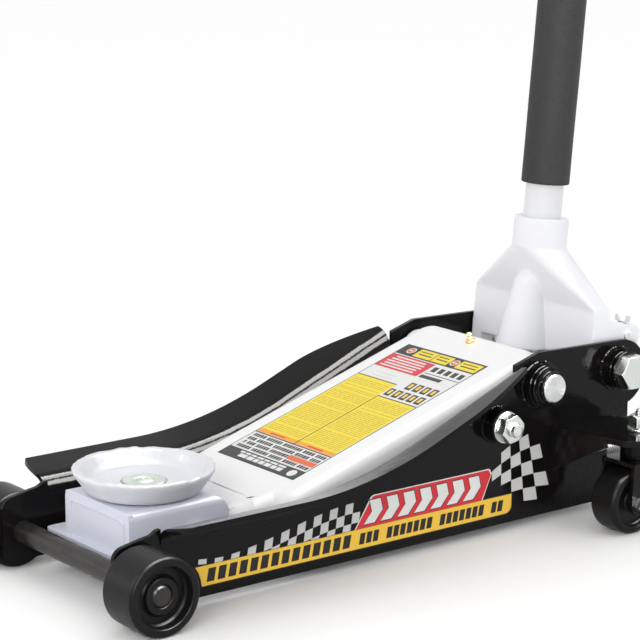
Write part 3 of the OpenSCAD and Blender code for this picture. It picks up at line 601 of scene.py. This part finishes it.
# Arm pin, its collars, and the rod and socket bolts with their nuts and washers
pin_y = extent("arm_pivot_pin")[1][1]
pin_profile = [(0, -pin_y), (12.6, -pin_y), (13.5, -pin_y + 0.9), (13.5, pin_y - 0.9), (12.6, pin_y),
               (1.6, pin_y), (1.0, pin_y - 0.9), (0, pin_y - 1.0)]
turned("arm_pivot_pin_bar", pin_profile, axis_matrix(at(ARM[0], 0, ARM[1]), (0, 1, 0)), "turned_steel",
       "frame", "arm_pivot_pin")
collar_profile = [(13.6, 6), (19.4, 6), (20, 6.6), (20, 8.6), (19.4, 9.2), (18, 9.4), (18, 10.8),
                  (19.2, 11.2), (19.5, 11.8), (19.5, 13.4), (18.9, 14), (16.8, 14.2), (16.5, 15.6),
                  (15.4, 16.2), (15, 17), (15, 19.2), (14.6, 20), (13.6, 20)]
washer_profile = [(10.1, 0), (18, 0), (18.5, 0.5), (18.5, 2), (18, 2.5), (15.5, 2.7), (15.5, 5.2),
                  (18.6, 5.5), (19, 5.9), (19, 7.6), (18.6, 8), (10.1, 8)]


def mirrored_pair(name, builds, xz, material, node, bevel=0.0):
    """The same shapes on both sides of the frame, their Z running outwards from the centre plane at xz."""
    bm = bmesh.new()
    for _, side in SIDES:
        def outwards(x, y, z, s=side):
            return Vector((x, z * s, y)) * MM
        for build in builds:
            build(bm, outwards)
    piece(name, bm, material, "frame", node, matrix=Matrix.Translation(at(xz[0], 0, xz[1])), bevel=bevel)


def raised(profile, height=0.0):
    """The profile moved out to the web's outer face, or height beyond it."""
    return [(r, z + WEB_OUT + height) for r, z in profile]


head_y = WEB_OUT + SOCKET_BOSS + 8  # under the socket bolt's head
nut_y = WEB_OUT + ROD_BOSS  # under the rod bolt's washer
mirrored_pair("arm_pin_collar_stack", [lathe(raised(collar_profile), 80)], ARM, "gloss_black",
              "arm_pin_collars")
mirrored_pair("socket_bolt_washers", [lathe(raised(washer_profile, SOCKET_BOSS), 80)], SOCKET, "gloss_black",
              "socket_pivot_washers")
mirrored_pair("socket_bolts_hex",
              [hexagon(31, head_y, head_y + 12, 0, (False, True)),
               lathe(chamfered(10, 71, head_y + 0.4), 48)],
              SOCKET, "zinc", "socket_pivot_bolts", 0.25)
mirrored_pair("rod_bolts_hex",
              [hexagon(21, 49, 56.2, 8), lathe(chamfered(7, 56, nut_y + 11), 40),
               lathe(threaded(7, nut_y + 10.5, nut_y + 19), 40)],
              ROD, "zinc", "rod_pivot_bolts")
mirrored_pair("rod_nuts_hex",
              [lathe(washer(7.1, 15, nut_y, nut_y + 2), 64), hexagon(24, nut_y + 2, nut_y + 12.5, 12)],
              ROD, "zinc", "rod_pivot_nuts", 0.2)

# ---- lift arm

ARM_SLOPE = radians(17)
ARM_TOP = 163.5  # the top face's height above the floor at the pivot's X
ARM_T = 5.0
ARM_END = 470.0
ARM_HALF = 83.0
ARM_NORMAL = Vector((-sin(ARM_SLOPE), 0, cos(ARM_SLOPE)))


def arm_top(x):
    """Height of the arm's sloping top face."""
    return ARM_TOP + (x - ARM[0]) * tan(ARM_SLOPE)


def arm_outline():
    """Plan of the arm from above, near half then far half: narrow nose, concave shoulders, broad plate."""
    near = [(104, -20), (104, -38)] + arc(109, -38, 5, 180, 250, 5)
    near += arc(124, -77, 32, 95, 35, 14)
    near += arc(185, -ARM_HALF + 17, 17, 168, 270, 12)
    near += [(x, -ARM_HALF) for x in range(210, 450, 24)]
    near += arc(ARM_END - 18, -ARM_HALF + 18, 18, 270, 360, 10) + [(ARM_END, -30)]
    return near + [(x, -y) for x, y in reversed(near)]


def inset(points, distance):
    """The closed outline moved inwards along its corner normals."""
    moved = []
    n = len(points)
    for i, (x, y) in enumerate(points):
        (ax, ay), (bx, by) = points[i - 1], points[(i + 1) % n]
        tx, ty = bx - ax, by - ay
        size = hypot(tx, ty)
        moved.append((x - ty / size * distance, y + tx / size * distance))
    return moved


def build_arm():
    """The pressed channel with its rolled rim, the two inner beams, and the nose and pivot barrels."""
    bm = bmesh.new()
    plan = arm_outline()

    def ring(distance, drop):
        return [bm.verts.new(at(x, y, arm_top(x) - drop)) for x, y in inset(plan, distance)]

    round_r, depth = 12.0, 25.0
    small = round_r - ARM_T
    turn = [radians(15 * i) for i in range(7)]
    outer = [ring(0, depth), ring(0, depth - 6)]
    outer += [ring(round_r * (1 - cos(a)), round_r * (1 - sin(a))) for a in turn]
    inner = [ring(ARM_T + small * (1 - cos(a)), ARM_T + small * (1 - sin(a)))
             for a in reversed(turn)]
    inner += [ring(ARM_T, depth)]
    add_loop_faces(bm, outer, caps=False)
    bm.faces.new(outer[-1])
    add_loop_faces(bm, inner, caps=False)
    bm.faces.new(list(reversed(inner[0])))
    add_loop_faces(bm, [inner[-1], outer[0]], caps=False)
    beam_in, beam_out = 34, 43
    beam = arc(HEAD[0], HEAD[1], 14, 255, 80, 24)
    beam += [(x, arm_top(x) - 2) for x in (110, ARM[0] + 8)]
    beam += arc(ARM[0], ARM[1], 24, 60, -80, 20)
    for _, side in SIDES:
        add_prism(bm, beam, beam_in, beam_out, lambda u, v, w, s=side: at(u, s * w, v))

    def crosswise(centre):
        return lambda x, y, z: at(centre[0] + x, z, centre[1] + y)

    for centre, bore, r, half, segments in ((HEAD, 11.05, 15, 44, 64), (ARM, 13.55, 21, ARM_HALF + 1.5, 80)):
        barrel = [(bore, -half), (r, -half), (r, half), (bore, half)]
        add_lathe(bm, barrel, segments, frame_of=crosswise(centre))
    piece("lift_arm_pressing", bm, "gloss_white", "arm", "lift_arm", bevel=0.9, limit=40)


build_arm()
finished("arm_lever", "gloss_white", 0.8)
finished("lever_pin", "drawn_steel", 0.4)
nipple_x = sum(corner[0] for corner in extent("grease_nipple")) / 2
nipple_profile = [(0, -1), (3.2, -1), (3.2, 2.5), (2.3, 3.0), (2.3, 5.0), (1.7, 5.6), (1.7, 6.2), (2.9, 7.2),
                  (3.1, 8.4), (2.5, 9.4), (1.2, 10.0), (0, 9.6)]
turned("grease_nipple_fitting", nipple_profile, axis_matrix(at(nipple_x, 0, arm_top(nipple_x)), ARM_NORMAL),
       "brass", "arm", "grease_nipple", 40, extras=(hexagon(9, 0, 2.6, 11, (False, True)),))

# ---- head and saddle

head_top = extent("head_bracket")[1][2]
HEAD_FRONT = 22.0
HEAD_HALF = 51.5
finished("head_bracket", "head_white", 1.6, limit=40)


def build_head_welds():
    """The front plate's bead, the beads down the box's sides and the foot plate's beads."""
    bm = bmesh.new()
    edge, low, high, corner = HEAD_HALF - 8.5, 43.0, head_top - 8.0, 6.0
    path = [(-edge, low)] + [(-edge, z) for z in range(47, int(high - corner), 3)]
    path += arc(-edge + corner, high - corner, corner, 180, 90, 6)
    path += [(y, high) for y in range(int(-edge + corner) + 3, int(edge - corner), 3)]
    path += arc(edge - corner, high - corner, corner, 90, 0, 6)
    path += [(edge, z) for z in range(int(high - corner) - 2, 44, -3)] + [(edge, low)]
    add_sweep(bm, [at(HEAD_FRONT - 0.1, y, z) for y, z in path], bead(3.1, 1.6))
    for _, side in SIDES:
        line = [at(x, side * (HEAD_HALF + 0.3), 41.3) for x in range(24, 57, 2)]
        add_sweep(bm, line, bead(5.0 + side, 1.6))
    piece("head_bracket_welds", bm, "head_white", "head", "head_bracket", stands_in=False)


build_head_welds()
finished("head_pivot_pin", "drawn_steel", 0.5)
finished("rod_front_pin", "drawn_steel", 0.4)

(saddle_x0, _, stem_z), (saddle_x1, _, rim_z) = extent("saddle")
saddle_r = (saddle_x1 - saddle_x0) / 2
saddle_matrix = axis_matrix(at(joint_xz("saddle_swivel")[0], 0, 0), (0, 0, 1))


def hammered(r, z, a):
    """Uneven, slightly scalloped rim of a forged dish, growing from nothing at its floor."""
    floor_z, floor_r, rise = 90, 40, 12
    if z < floor_z or r < floor_r:
        return r, z
    spot = Vector((cos(a), sin(a), 0))
    lobes = noise.noise(spot * 5.5) * 1.3 + noise.noise(spot * 13 + Vector((4, 0, 0))) * 0.6
    notch = abs(sin(a * 9.5 + 1.3 * sin(2 * a)))
    share = min((z - floor_z) / rise, 1)
    return r + lobes * 0.9 * share - 0.5, z + (lobes * 0.8 - 0.7 * (1 - notch) ** 3 - 0.5) * share


under_dish = [(6.05, stem_z), (14.2, stem_z), (15, stem_z + 0.8), (15, 81.4), (43, 81.3), (46, 81.7),
              (49.5, 83), (53, 86), (56.4, 90.2), (59.4, 94.6), (61.8, 98.2), (63.3, 100.6)]
dish_rim = [(saddle_r - 0.1, 102.4), (saddle_r, 103.6), (63.2, 104.7), (61.6, rim_z), (59.6, rim_z),
            (57.6, 104.3), (56.2, 103)]
in_dish = [(54.6, 100.6), (52.4, 97.4), (50.2, 94.6), (47.4, 92.4), (44, 91.2), (30, 91), (21.4, 90.9),
           (20.6, 90.3), (20.5, 88.1), (6.05, 88.1)]
turned("saddle_dish", under_dish + dish_rim + in_dish, saddle_matrix, "cast_white", "saddle_cup", "saddle",
       180, hammered, 60)
disc_profile = [(0, 88.2), (19, 88.2), (19.5, 88.7), (19.4, 90.9), (18.6, 91.5), (9.4, 91.5), (8.6, 90.8),
                (7.8, 91.5), (4.8, 92.3), (2.2, 92.4), (1.7, 91.5), (0, 91.4)]
turned("saddle_screw_disc", disc_profile, saddle_matrix, "dull_zinc", "head", "saddle_screw", 72,
       extras=(lathe(chamfered(5.9, stem_z - 8.5, 88.6), 40), hexagon(18, stem_z - 8, stem_z - 0.1)))

# ---- handle socket and handle

lean_axis = Vector(JOINTS["handle_twist"]["axis"])
LEAN = atan2(lean_axis.x, lean_axis.z)
TUBE_X = -28.0  # the tube's axis in the socket, from the pivot
socket_matrix = Matrix.Translation(at(SOCKET[0], 0, SOCKET[1])) @ Matrix.Rotation(LEAN, 4, "Y")
tube_matrix = socket_matrix @ Matrix.Translation(Vector((TUBE_X * MM, 0, 0)))
CAST_VOXEL, CAST_ROUNDS = 1.3, 9


def cast_from(node, name, material):
    """The CAD node's shape as a casting: one skin with soft fillets and corners."""
    source = frame["nodes"][node]
    obj = add_object(name, source.data.copy())
    remesh = obj.modifiers.new("skin", "REMESH")
    remesh.mode = "VOXEL"
    remesh.voxel_size = CAST_VOXEL * MM
    soft = obj.modifiers.new("soften", "SMOOTH")
    soft.factor = 0.5
    soft.iterations = CAST_ROUNDS
    bpy.context.view_layer.update()
    evaluated = obj.evaluated_get(bpy.context.evaluated_depsgraph_get())
    result = bpy.data.meshes.new_from_object(evaluated)
    obj.modifiers.clear()
    obj.data = result
    for polygon in result.polygons:
        polygon.use_smooth = True
    result.materials.clear()
    result.materials.append(MATERIALS[material])
    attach(obj, source["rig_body"])
    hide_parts(node)


cast_from("handle_socket", "handle_socket_casting", "socket_white_painted_light")
finished("socket_lug_screws", "zinc", 0.4)
finished("roller_pin", "drawn_steel", 0.6)
finished("cam_roller", "drawn_steel", 0.4)

# Heights along the handle's tube, from the socket's pivot, and radii of its parts
foot_z, joint_z, top_z = 99.2, 560.2, 1029.0
foam_low, foam_high = 167.5, 470.0
tube_r, spigot_r, upper_bore, cover_bore = 18.5, 15.9, 13.45, 18.55


def tongue(bm, frame_of):
    """The flat end of the rod that turns the release valve."""
    add_prism(bm, [(-3.5, -8), (3.5, -8), (3.5, 8), (-3.5, 8)], 0, 6, frame_of)


lower_tube = [(0, 4), (3.8, 4), (4, 4.4), (4, foot_z), (tube_r - 0.4, foot_z), (tube_r, foot_z + 0.4),
              (tube_r, joint_z - 0.5), (tube_r - 0.4, joint_z), (16, joint_z), (16, 119), (0, 119)]
turned("handle_lower_tube_drawn", lower_tube, tube_matrix, "tube_white", "handle", "handle_lower_tube", 80,
       extras=(tongue,))
upper_tube = [(upper_bore, 500.2), (spigot_r, 500.2), (spigot_r, joint_z + 0.4), (18.2, joint_z + 0.4),
              (tube_r, joint_z + 0.8), (tube_r, top_z - 6), (upper_bore, top_z - 6)]
turned("handle_upper_tube_drawn", upper_tube, tube_matrix, "tube_white", "handle", "handle_upper_tube", 80)


def soft_tube(r, z, a):
    """The foam's outside swells and sinks a little; its bore stays round."""
    swell, round_scale, long_scale = 0.22, 1.2, 60
    if r < 20:
        return r, z
    return r + swell * noise.noise(Vector((cos(a) * round_scale, sin(a) * round_scale, z / long_scale))), z


foam_walls = [(23.5, foam_low + 3 + (foam_high - foam_low - 6) * i / 48) for i in range(49)]
foam_low_end = [(cover_bore, foam_low), (21.7, foam_low)] + arc(21.9, foam_low + 1.6, 1.6, -80, -10, 4)
foam_high_end = arc(21.9, foam_high - 1.6, 1.6, 10, 80, 4) + [(21.7, foam_high), (cover_bore, foam_high)]
foam = turned("foam_sleeve_soft", foam_low_end + foam_walls + foam_high_end, tube_matrix, "foam", "handle",
              "foam_sleeve", 72, soft_tube, 50)


def fluted(r, z, a):
    """Grip ribs: lengthwise flutes between two smooth ends."""
    flutes, depth = 24, 0.8
    if r < 21 or z < top_z - 104 or z > top_z - 14:
        return r, z
    return r - depth * (0.5 + 0.5 * cos(a * flutes)) ** 2, z


grip_low = top_z - 120
grip_profile = [(cover_bore, grip_low), (21.4, grip_low), (22, grip_low + 0.8), (22, grip_low + 8)]
for k in range(16):
    z = grip_low + 14 + 6 * k
    grip_profile += [(22, z), (22, z + 4.2), (21.2, z + 4.7), (21.2, z + 5.5)]
grip_profile += [(22, top_z - 8), (21.2, top_z - 3.5), (18, top_z - 0.6), (14, top_z), (0, top_z),
                 (0, top_z - 5.2), (cover_bore, top_z - 5.2)]
turned("hand_grip_moulded", grip_profile, tube_matrix, "grip_rubber", "handle", "hand_grip", 192, fluted)
finished("tube_lock_button", "zinc", 0.8)

# ---- power unit, ram and levers

for node, material, bevel in (
        ("frame_cross_tube", "gloss_black", 0.4), ("cylinder_head", "gloss_black", 0.8),
        ("reservoir_tube", "gloss_black", 0.4), ("ram_cylinder", "drawn_steel", 0.6),
        ("pump_block", "gloss_black", 1.4), ("oil_filler_plug", "zinc", 0.5),
        ("spring_anchor_studs", "zinc", 0.6), ("ram", "chrome", 0.6), ("crosshead", "drawn_steel", 0.8),
        ("spring_cross_pin", "zinc", 0.5), ("pump_piston", "drawn_steel", 0.5),
        ("release_valve", "drawn_steel", 0.5)):
    finished(node, material, bevel)
for stem, bevel in (("radius_rod_", 0.9), ("caster_plate_", 1.5), ("caster_fork_", 0.5)):
    for label, _ in SIDES:
        finished(stem + label, "gloss_black", bevel)


def coil(bm, start, end, coil_r, wire_r, turns, per_turn):
    """A spring's wire from start to end, which are in metres, with closed end turns."""
    axis = end - start
    length = axis.length
    axis.normalize()
    u = axis.orthogonal().normalized()
    v = axis.cross(u)
    count = int(turns * per_turn)
    flat = 1.0 / turns  # share of the wire that lies flat at either end
    points = []
    for i in range(count + 1):
        t = i / count
        s = (t - flat / 2) / (1 - flat)
        rise = min(max(s, 0), 1) * (length - 4 * wire_r * MM) + (2 * wire_r * MM if t > flat / 2 else 0)
        rise += wire_r * MM * (min(t / flat, 1) - 1) + wire_r * MM * max(0, (t - 1 + flat) / flat)
        a = 2 * pi * turns * t
        spoke = (u * cos(a) + v * sin(a)) * coil_r * MM
        points.append(start + axis * max(rise, wire_r * MM) + spoke)
    add_sweep(bm, points, wire_r)


def hook(bm, centre, radius, wire_r, towards):
    """A spring's end loop round a pin: an upright ring, open towards 1 or -1 along X."""
    gap = radians(40)
    steps = [gap + (2 * pi - 2 * gap) * i / 20 for i in range(21)]
    loop = [centre + Vector((towards * cos(a), 0, sin(a))) * radius * MM for a in steps]
    add_sweep(bm, loop, wire_r)


SPRING_WIRE_R = 1.2
for label, _ in SIDES:
    node = "return_spring_" + label
    (x0, y0, z0), (x1, y1, z1) = extent(node)
    mid_y, mid_z = (y0 + y1) / 2, (z0 + z1) / 2
    bm = bmesh.new()
    coil(bm, at(x0 + 3, mid_y, mid_z), at(x1 - 3, mid_y, mid_z), 7.8, SPRING_WIRE_R, turns=26, per_turn=18)
    for x, towards in ((x0 - 4.3, 1), (x1 + 4.3, -1)):
        hook(bm, at(x, mid_y, mid_z), 5.4, SPRING_WIRE_R, towards)
    spring = piece(node + "_wire", bm, "spring_steel", None, node)
    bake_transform(spring)

(x0, y0, z0), (x1, y1, z1) = extent("pump_spring")
pump_x, pump_y = (x0 + x1) / 2, (y0 + y1) / 2
bm = bmesh.new()
coil(bm, at(pump_x, pump_y, z0), at(pump_x, pump_y, z1), 10.2, 1.25, turns=6.5, per_turn=22)
pump_wire = piece("pump_spring_wire", bm, "spring_steel", "frame", "pump_spring")
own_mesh(pump_wire)

# ---- casters

king_x = joint_xz("caster_left_swivel")[0]
king_y = JOINTS["caster_right_swivel"]["pos_m"][1] / MM
plate_top = extent("caster_plate_right")[1][2]
crown_low = 66.0


def build_kingpins():
    """Each caster's pin with its lower head, and the washer, nut and thread on top of the plate."""
    bm = bmesh.new()
    for _, side in SIDES:
        def up(x, y, z, s=side):
            return at(king_x + x, s * king_y + y, z)
        for build in (lathe(chamfered(7, crown_low - 1, plate_top + 14), 40),
                      lathe(threaded(7, plate_top + 13.5, plate_top + 20.2), 40),
                      lathe(washer(7, 14, plate_top, plate_top + 2.5), 64),
                      hexagon(22, plate_top + 2.5, plate_top + 14.5, 20),
                      lathe(chamfered(12, crown_low - 3.5, crown_low, 1.0), 48)):
            build(bm, up)
    piece("caster_kingpins_plated", bm, "zinc", "frame", "caster_kingpins", bevel=0.15)


build_kingpins()


def caster_tyre():
    """Profile of a moulded caster wheel, the same on both sides."""
    r, half, bore = 31.0, 16.0, 5.05
    side = [(bore, -half - 1), (8.6, -half - 1), (9, -half - 0.6), (9.8, -half + 5), (11, -half + 6),
            (r - 9, -half + 6), (r - 8, -half + 5), (r - 7.2, -half + 0.4), (r - 6.8, -half)]
    side += arc(r - 5, -half + 5, 5, -90, 0, 8)
    return side + [(x, -z) for x, z in reversed(side)]


for label, side in SIDES:
    spin = JOINTS[f"caster_{label}_spin"]
    centre = Vector(spin["pos_m"])
    wheel_axis = Vector(spin["axis"])
    node = "caster_wheel_" + label
    turned(node + "_moulded", caster_tyre(), axis_matrix(centre, wheel_axis), "satin_black",
           "caster_roll_" + label, node)
    node = "caster_axle_" + label
    outward = wheel_axis * (1 if wheel_axis.y * side > 0 else -1)
    turned(node + "_plated", chamfered(5, -22, 22), axis_matrix(centre, outward), "zinc", "caster_" + label,
           node, 40, extras=(hexagon(16, -27.5, -21.5, 0, (True, False)), hexagon(16, 21.5, 29.5, 10),
                             lathe(threaded(5, 29, 33.4, 1.5, 0.7), 32)))

# ---- printed labels

LIFT = 0.06  # gap between a surface and the label on it
FILM = 0.05  # step between a label's layers
FILM_T = FILM * 0.9


class Print:
    """A label: flat cells of ink on a surface, each a thin closed layer above the one before."""

    def __init__(self, place):
        self.place = place
        self.bm = bmesh.new()
        self.inks = []

    def cell(self, ink, outline, layer=0):
        finish = "ink_" + ink
        if finish not in self.inks:
            self.inks.append(finish)
        before = set(self.bm.faces)
        base = LIFT + layer * FILM
        add_prism(self.bm, outline, base, base + FILM_T, self.place)
        for face in set(self.bm.faces) - before:
            face.material_index = self.inks.index(finish)

    def box(self, ink, u0, v0, u1, v1, layer=1):
        self.cell(ink, [(u0, v0), (u1, v0), (u1, v1), (u0, v1)], layer)

    def bars(self, ink, corner, size, lean, count, pitch, layer, skip=()):
        """A row of leaning bars along u; lean is how far each bar's high edge is shifted along u."""
        (u, v), (wide, high) = corner, size
        for k in range(count):
            a, b = u + pitch * k, v + high
            if k not in skip:
                self.cell(ink, [(a, v), (a + wide, v), (a + wide + lean, b), (a + lean, b)], layer)

    def done(self, name, body, node):
        piece(name, self.bm, self.inks, body, node, stands_in=False, weld=False)


def arm_label():
    """Generic instruction label with blank panels: u runs up the arm from its front edge, v to the right."""
    front, length, half = 192.3, 241.0, 58.3

    def place(u, v, w):
        x = front + u * cos(ARM_SLOPE)
        return at(x, v, arm_top(x)) + ARM_NORMAL * w * MM

    art = Print(place)
    rng = random.Random(4)
    art.box("dark", 0, -half, length, half, 0)
    art.box("white", 1.1, -half + 1.1, length - 1.1, half - 1.1)
    art.box("slate", 0.8, -half + 0.8, 15.5, half - 0.8, 2)
    for row, depth in ((4.5, 5.2), (11.0, 2.6)):
        v = -half + 26
        while v < half - 24:
            size = rng.uniform(6, 12)
            art.box("white", row, v, row + depth, v + size, 3)
            v += size + 1.6
    art.cell("white", arc(8.2, -half + 12, 5.2, 0, 345, 23), 3)
    for k in range(4):
        u = 17.6 + 7.0 * k
        v, word = -half + 3.5, rng.randint(3, 7)
        while v < half - 7:
            size = rng.uniform(2.3, 3.6)
            art.box("slate", u, v, u + 4.7, v + size, 3)
            word -= 1
            v += size + (0.9 if word else 3.4)
            word = word or rng.randint(3, 8)
    art.box("orange", 23.6, -half + 2, 30.6, -17, 4)
    art.box("dark", 45.0, -half + 1, 46.4, half - 1, 3)
    for low, high, top in ((-half + 1.6, -1.6, 149.5), (-0.8, half - 1.6, 173.5)):
        art.box("amber", 46.8, low, 52.8, high, 3)
        art.box("yellow", 52.8, low, top, high, 3)
        mid = (low + high) / 2
        art.box("red", 48.9, mid - 11, 50.7, mid + 11, 4)
        u = 56.5
        while u < top - 4:
            v = low + 2.6
            while v < high - 4:
                size = min(rng.uniform(5, 14), high - 2.4 - v)
                art.box("fine", u, v, u + 0.75, v + size, 4)
                v += size + 1.3
            u += 2.75 + (2.4 if rng.random() < 0.16 else 0)
    art.box("dark", 46.0, -2.0, 150.0, -0.8, 4)
    art.box("dark", 173.5, -0.8, 174.8, half - 1.6, 4)
    art.box("dark", 149.5, -half + 1.6, 150.8, -1.4, 4)
    depth = 13
    for row, u in enumerate((154, 171)):
        for k in range(5 - row):
            v = -half + 3.5 + 10.8 * k
            art.cell("dark", [(u, v), (u + depth, v + 1.6), (u + depth, v + 9.6), (u, v + 8.0)], 3)
            near, far = u + 3.2, u + depth - 2.2
            art.cell("gold", [(near, v + 2.4), (far, v + 3.4), (far, v + 7.2), (near, v + 6.2)], 4)
    for u in (179, 185):
        art.box("grey", u, 12, u + 0.9, half - 16, 3)
    art.box("red", 194.6, -5.4, 220.6, half - 1.2, 3)
    for k in range(5):
        u = 197.6 + 4.5 * k
        art.box("white", u, 1 + rng.uniform(0, 4), u + 2.1, half - rng.uniform(6, 14), 4)
    art.box("slate", 195.2, -half + 20, 200.4, -8, 3)
    art.box("dark", 203.4, -half + 2, 204.4, -8, 3)
    for k in range(5):
        v = -half + 4 + 9.4 * k
        art.cell("dark", [(208, v), (217, v + 1.2), (217, v + 7.4), (208, v + 6.2)], 3)
    art.box("dark", 222.0, -half + 1, length - 0.8, half - 1, 3)
    for low, high in ((-half + 2.4, -27.5), (-15.2, 7.2), (8.4, 34.0)):
        art.box("yellow", 224.0, low, length - 2.6, high, 4)
        art.box("dark", 228.6, low + 3, 230.4, high - 4, 5)
        art.box("dark", 233.6, low + 5, 235.0, high - 3, 5)
    for v in (-21.4, 43.0):
        art.cell("white", arc(231.5, v, 5.4, 0, 345, 23), 4)
        art.cell("orange", arc(231.5, v, 4.3, 0, 345, 23), 5)
        art.box("white", 230.7, v - 2.8, 232.3, v + 2.8, 6)
    art.done("arm_label_print", "arm", "lift_arm")


def smooth(t):
    """Eases from 0 to 1 as t does."""
    t = min(max(t, 0), 1)
    return t * t * (3 - 2 * t)


def side_decal(name, side):
    """Generic racing stripe on the side plate: gold band, red panel and a chequered flag with a long tail."""

    def place(u, v, w):
        return at(u, side * (WEB_OUT + w), v)

    art = Print(place)
    band_low, band_high, border = 18.3, 36.6, 0.9
    outline = [(68.2, band_low), (417, band_low)] + arc(416.5, band_low + 7.5, 7.5, -90, 0, 6)
    outline += [(424, band_high), (61.4, band_high), (64.9, 31), (67, 25)]
    art.cell("dark", [(u + (border if u > 200 else -border), v + (border if v > 30 else -border))
                          for u, v in outline], 0)
    art.cell("gold", outline, 1)
    art.bars("dark", (73, 21.4), (8.0, 12.0), 2.4, 14, 11.4, 2)
    art.bars("dark", (240, 22.0), (6.0, 10.4), 2.0, 22, 7.9, 2, skip=(3, 11, 19))
    panel = [(236.4, 36.9), (386.5, 36.9), (397.6, 60.2)] + arc(392.8, 61.6, 3.4, 0, 90, 4)
    panel += arc(258.5, 59.6, 5.4, 90, 150, 4)
    art.cell("white", [(u + (-1.2 if u < 300 else 1.2), v + (1.0 if v > 50 else 0)) for u, v in panel], 1)
    art.cell("red", panel, 2)
    low, mid, high, rim = 40, 50.8, 61.6, 0.8
    push = {low: -rim, mid: 0, high: rim}
    for k in range(7):
        u = 245.5 + 19.6 * k
        tip = u + 12.4
        right = [(tip, low), (tip + 9.4, mid), (tip + 6.8, high)]
        left = [(u + 6.8, high), (u + 9.4, mid)]
        edge = [(u - rim, low - rim)] + [(a + rim, b + push[b]) for a, b in right]
        edge += [(a - rim, b + push[b]) for a, b in left]
        art.cell("dark", edge, 3)
        art.cell("white", [(u, low)] + right + left, 4)
    tail_from, pitch, tall = 66.0, 8.75, 9.6

    def crest(u):
        """Height of the tail's top edge."""
        return 43.2 - 2.4 * smooth((u - tail_from) / 22) + 21.8 * smooth((u - 88) / 146)

    def check(u, row):
        """A corner of the tail's squares, which shrink towards its thin end and lean."""
        v = crest(u) - row * tall * min(1, 0.45 + 0.55 * smooth((u - tail_from) / 70))
        return u + (v - 50) * 0.14, max(v, band_high + 0.4)

    for i in range(20):
        u = tail_from + pitch * i
        for row in range(i % 2, 4, 2):
            quad = [check(u, row + 1), check(u + pitch, row + 1), check(u + pitch, row), check(u, row)]
            height = max(quad[2][1] - quad[1][1], quad[3][1] - quad[0][1])
            if height > 1.0 and max(a for a, _ in quad) < 250:
                art.cell("grey", quad, 1)

    def wave(i, j):
        """A corner of the flag's squares, column i and row j."""
        u = 399 + 11.1 * i + 0.17 * i * i * j
        return u, 72.4 + 7 * i - 0.55 * i * i - (9.7 + 0.9 * i) * j

    for i in range(5):
        for j in range(-1, 5):
            quad = [wave(i, j + 1), wave(i + 1, j + 1), wave(i + 1, j), wave(i, j)]
            lowest = min(v for _, v in quad)
            skipped = (i + j) % 2 == 0 or (i < 3 and j < 0) or (i == 4 and j < 1)
            if not skipped and lowest >= (band_high if i < 2 else 14):
                art.cell("grey", quad, 1)
    art.done("side_decal_" + name, "frame", "side_plate_" + name)


arm_label()
for label, side in SIDES:
    side_decal(label, side)

# ---- stage, light and camera


def stage_floor():
    bm = bmesh.new()
    bmesh.ops.create_grid(bm, x_segments=8, y_segments=8, size=14)
    floor = add_object("floor", mesh_of("floor", bm))
    mat, _, shader = new_material("floor_white")
    set_inputs(shader, {"Base Color": (0.975, 0.975, 0.975, 1), "Roughness": 0.9, "Specular IOR Level": 0.1})
    floor.data.materials.append(mat)


def softbox(name, place, target, width, height, power, diffuse=False):
    """A soft light; without diffuse it shows only in glossy surfaces."""
    data = bpy.data.lights.new(name, "AREA")
    data.shape = "RECTANGLE"
    data.size, data.size_y, data.energy = width, height, power
    data.color = (1.0, 0.985, 0.95)
    lamp = add_object(name, data)
    lamp.location = place
    lamp.rotation_euler = (Vector(target) - Vector(place)).to_track_quat("-Z", "Y").to_euler()
    lamp.visible_diffuse = diffuse


stage_floor()
world = bpy.data.worlds.new("studio")
world.use_nodes = True
set_inputs(world.node_tree.nodes["Background"], {"Color": (1.0, 1.0, 1.0, 1), "Strength": 1.0})
bpy.context.scene.world = world
softbox("key", (-2.4, -1.6, 1.4), (0, 0, 0.15), 1.4, 1.2, 26, diffuse=True)
softbox("overhead_near", (0.7, -1.45, 2.6), (0.7, -1.0, 0), 3.0, 1.1, 420)
softbox("overhead_far", (0.7, -0.02, 2.6), (0.7, -0.02, 0), 3.0, 0.85, 340)
softbox("left_strip", (-2.2, 1.4, 1.3), (0, 0, 0.1), 0.2, 1.4, 30)
softbox("front_glint", (-1.9, -2.3, 1.3), (0, 0, 0.1), 0.25, 1.5, 60)

CAMERA_TILT, CAMERA_TURN = 13.79, 37.33  # degrees below level, and from the side towards the front
camera_data = bpy.data.cameras.new("camera")
camera_data.sensor_width = 36.0
camera_data.lens = 134.325
camera_data.shift_x, camera_data.shift_y = 0.0248, 0.0791
camera_data.clip_end = 60
camera = add_object("camera", camera_data)
camera.location = (-1.3465, -1.6907, 0.6856)
camera.rotation_euler = (radians(90 - CAMERA_TILT), 0, radians(-CAMERA_TURN))
bpy.context.scene.camera = camera
bpy.context.scene.view_settings.view_transform = "Standard"
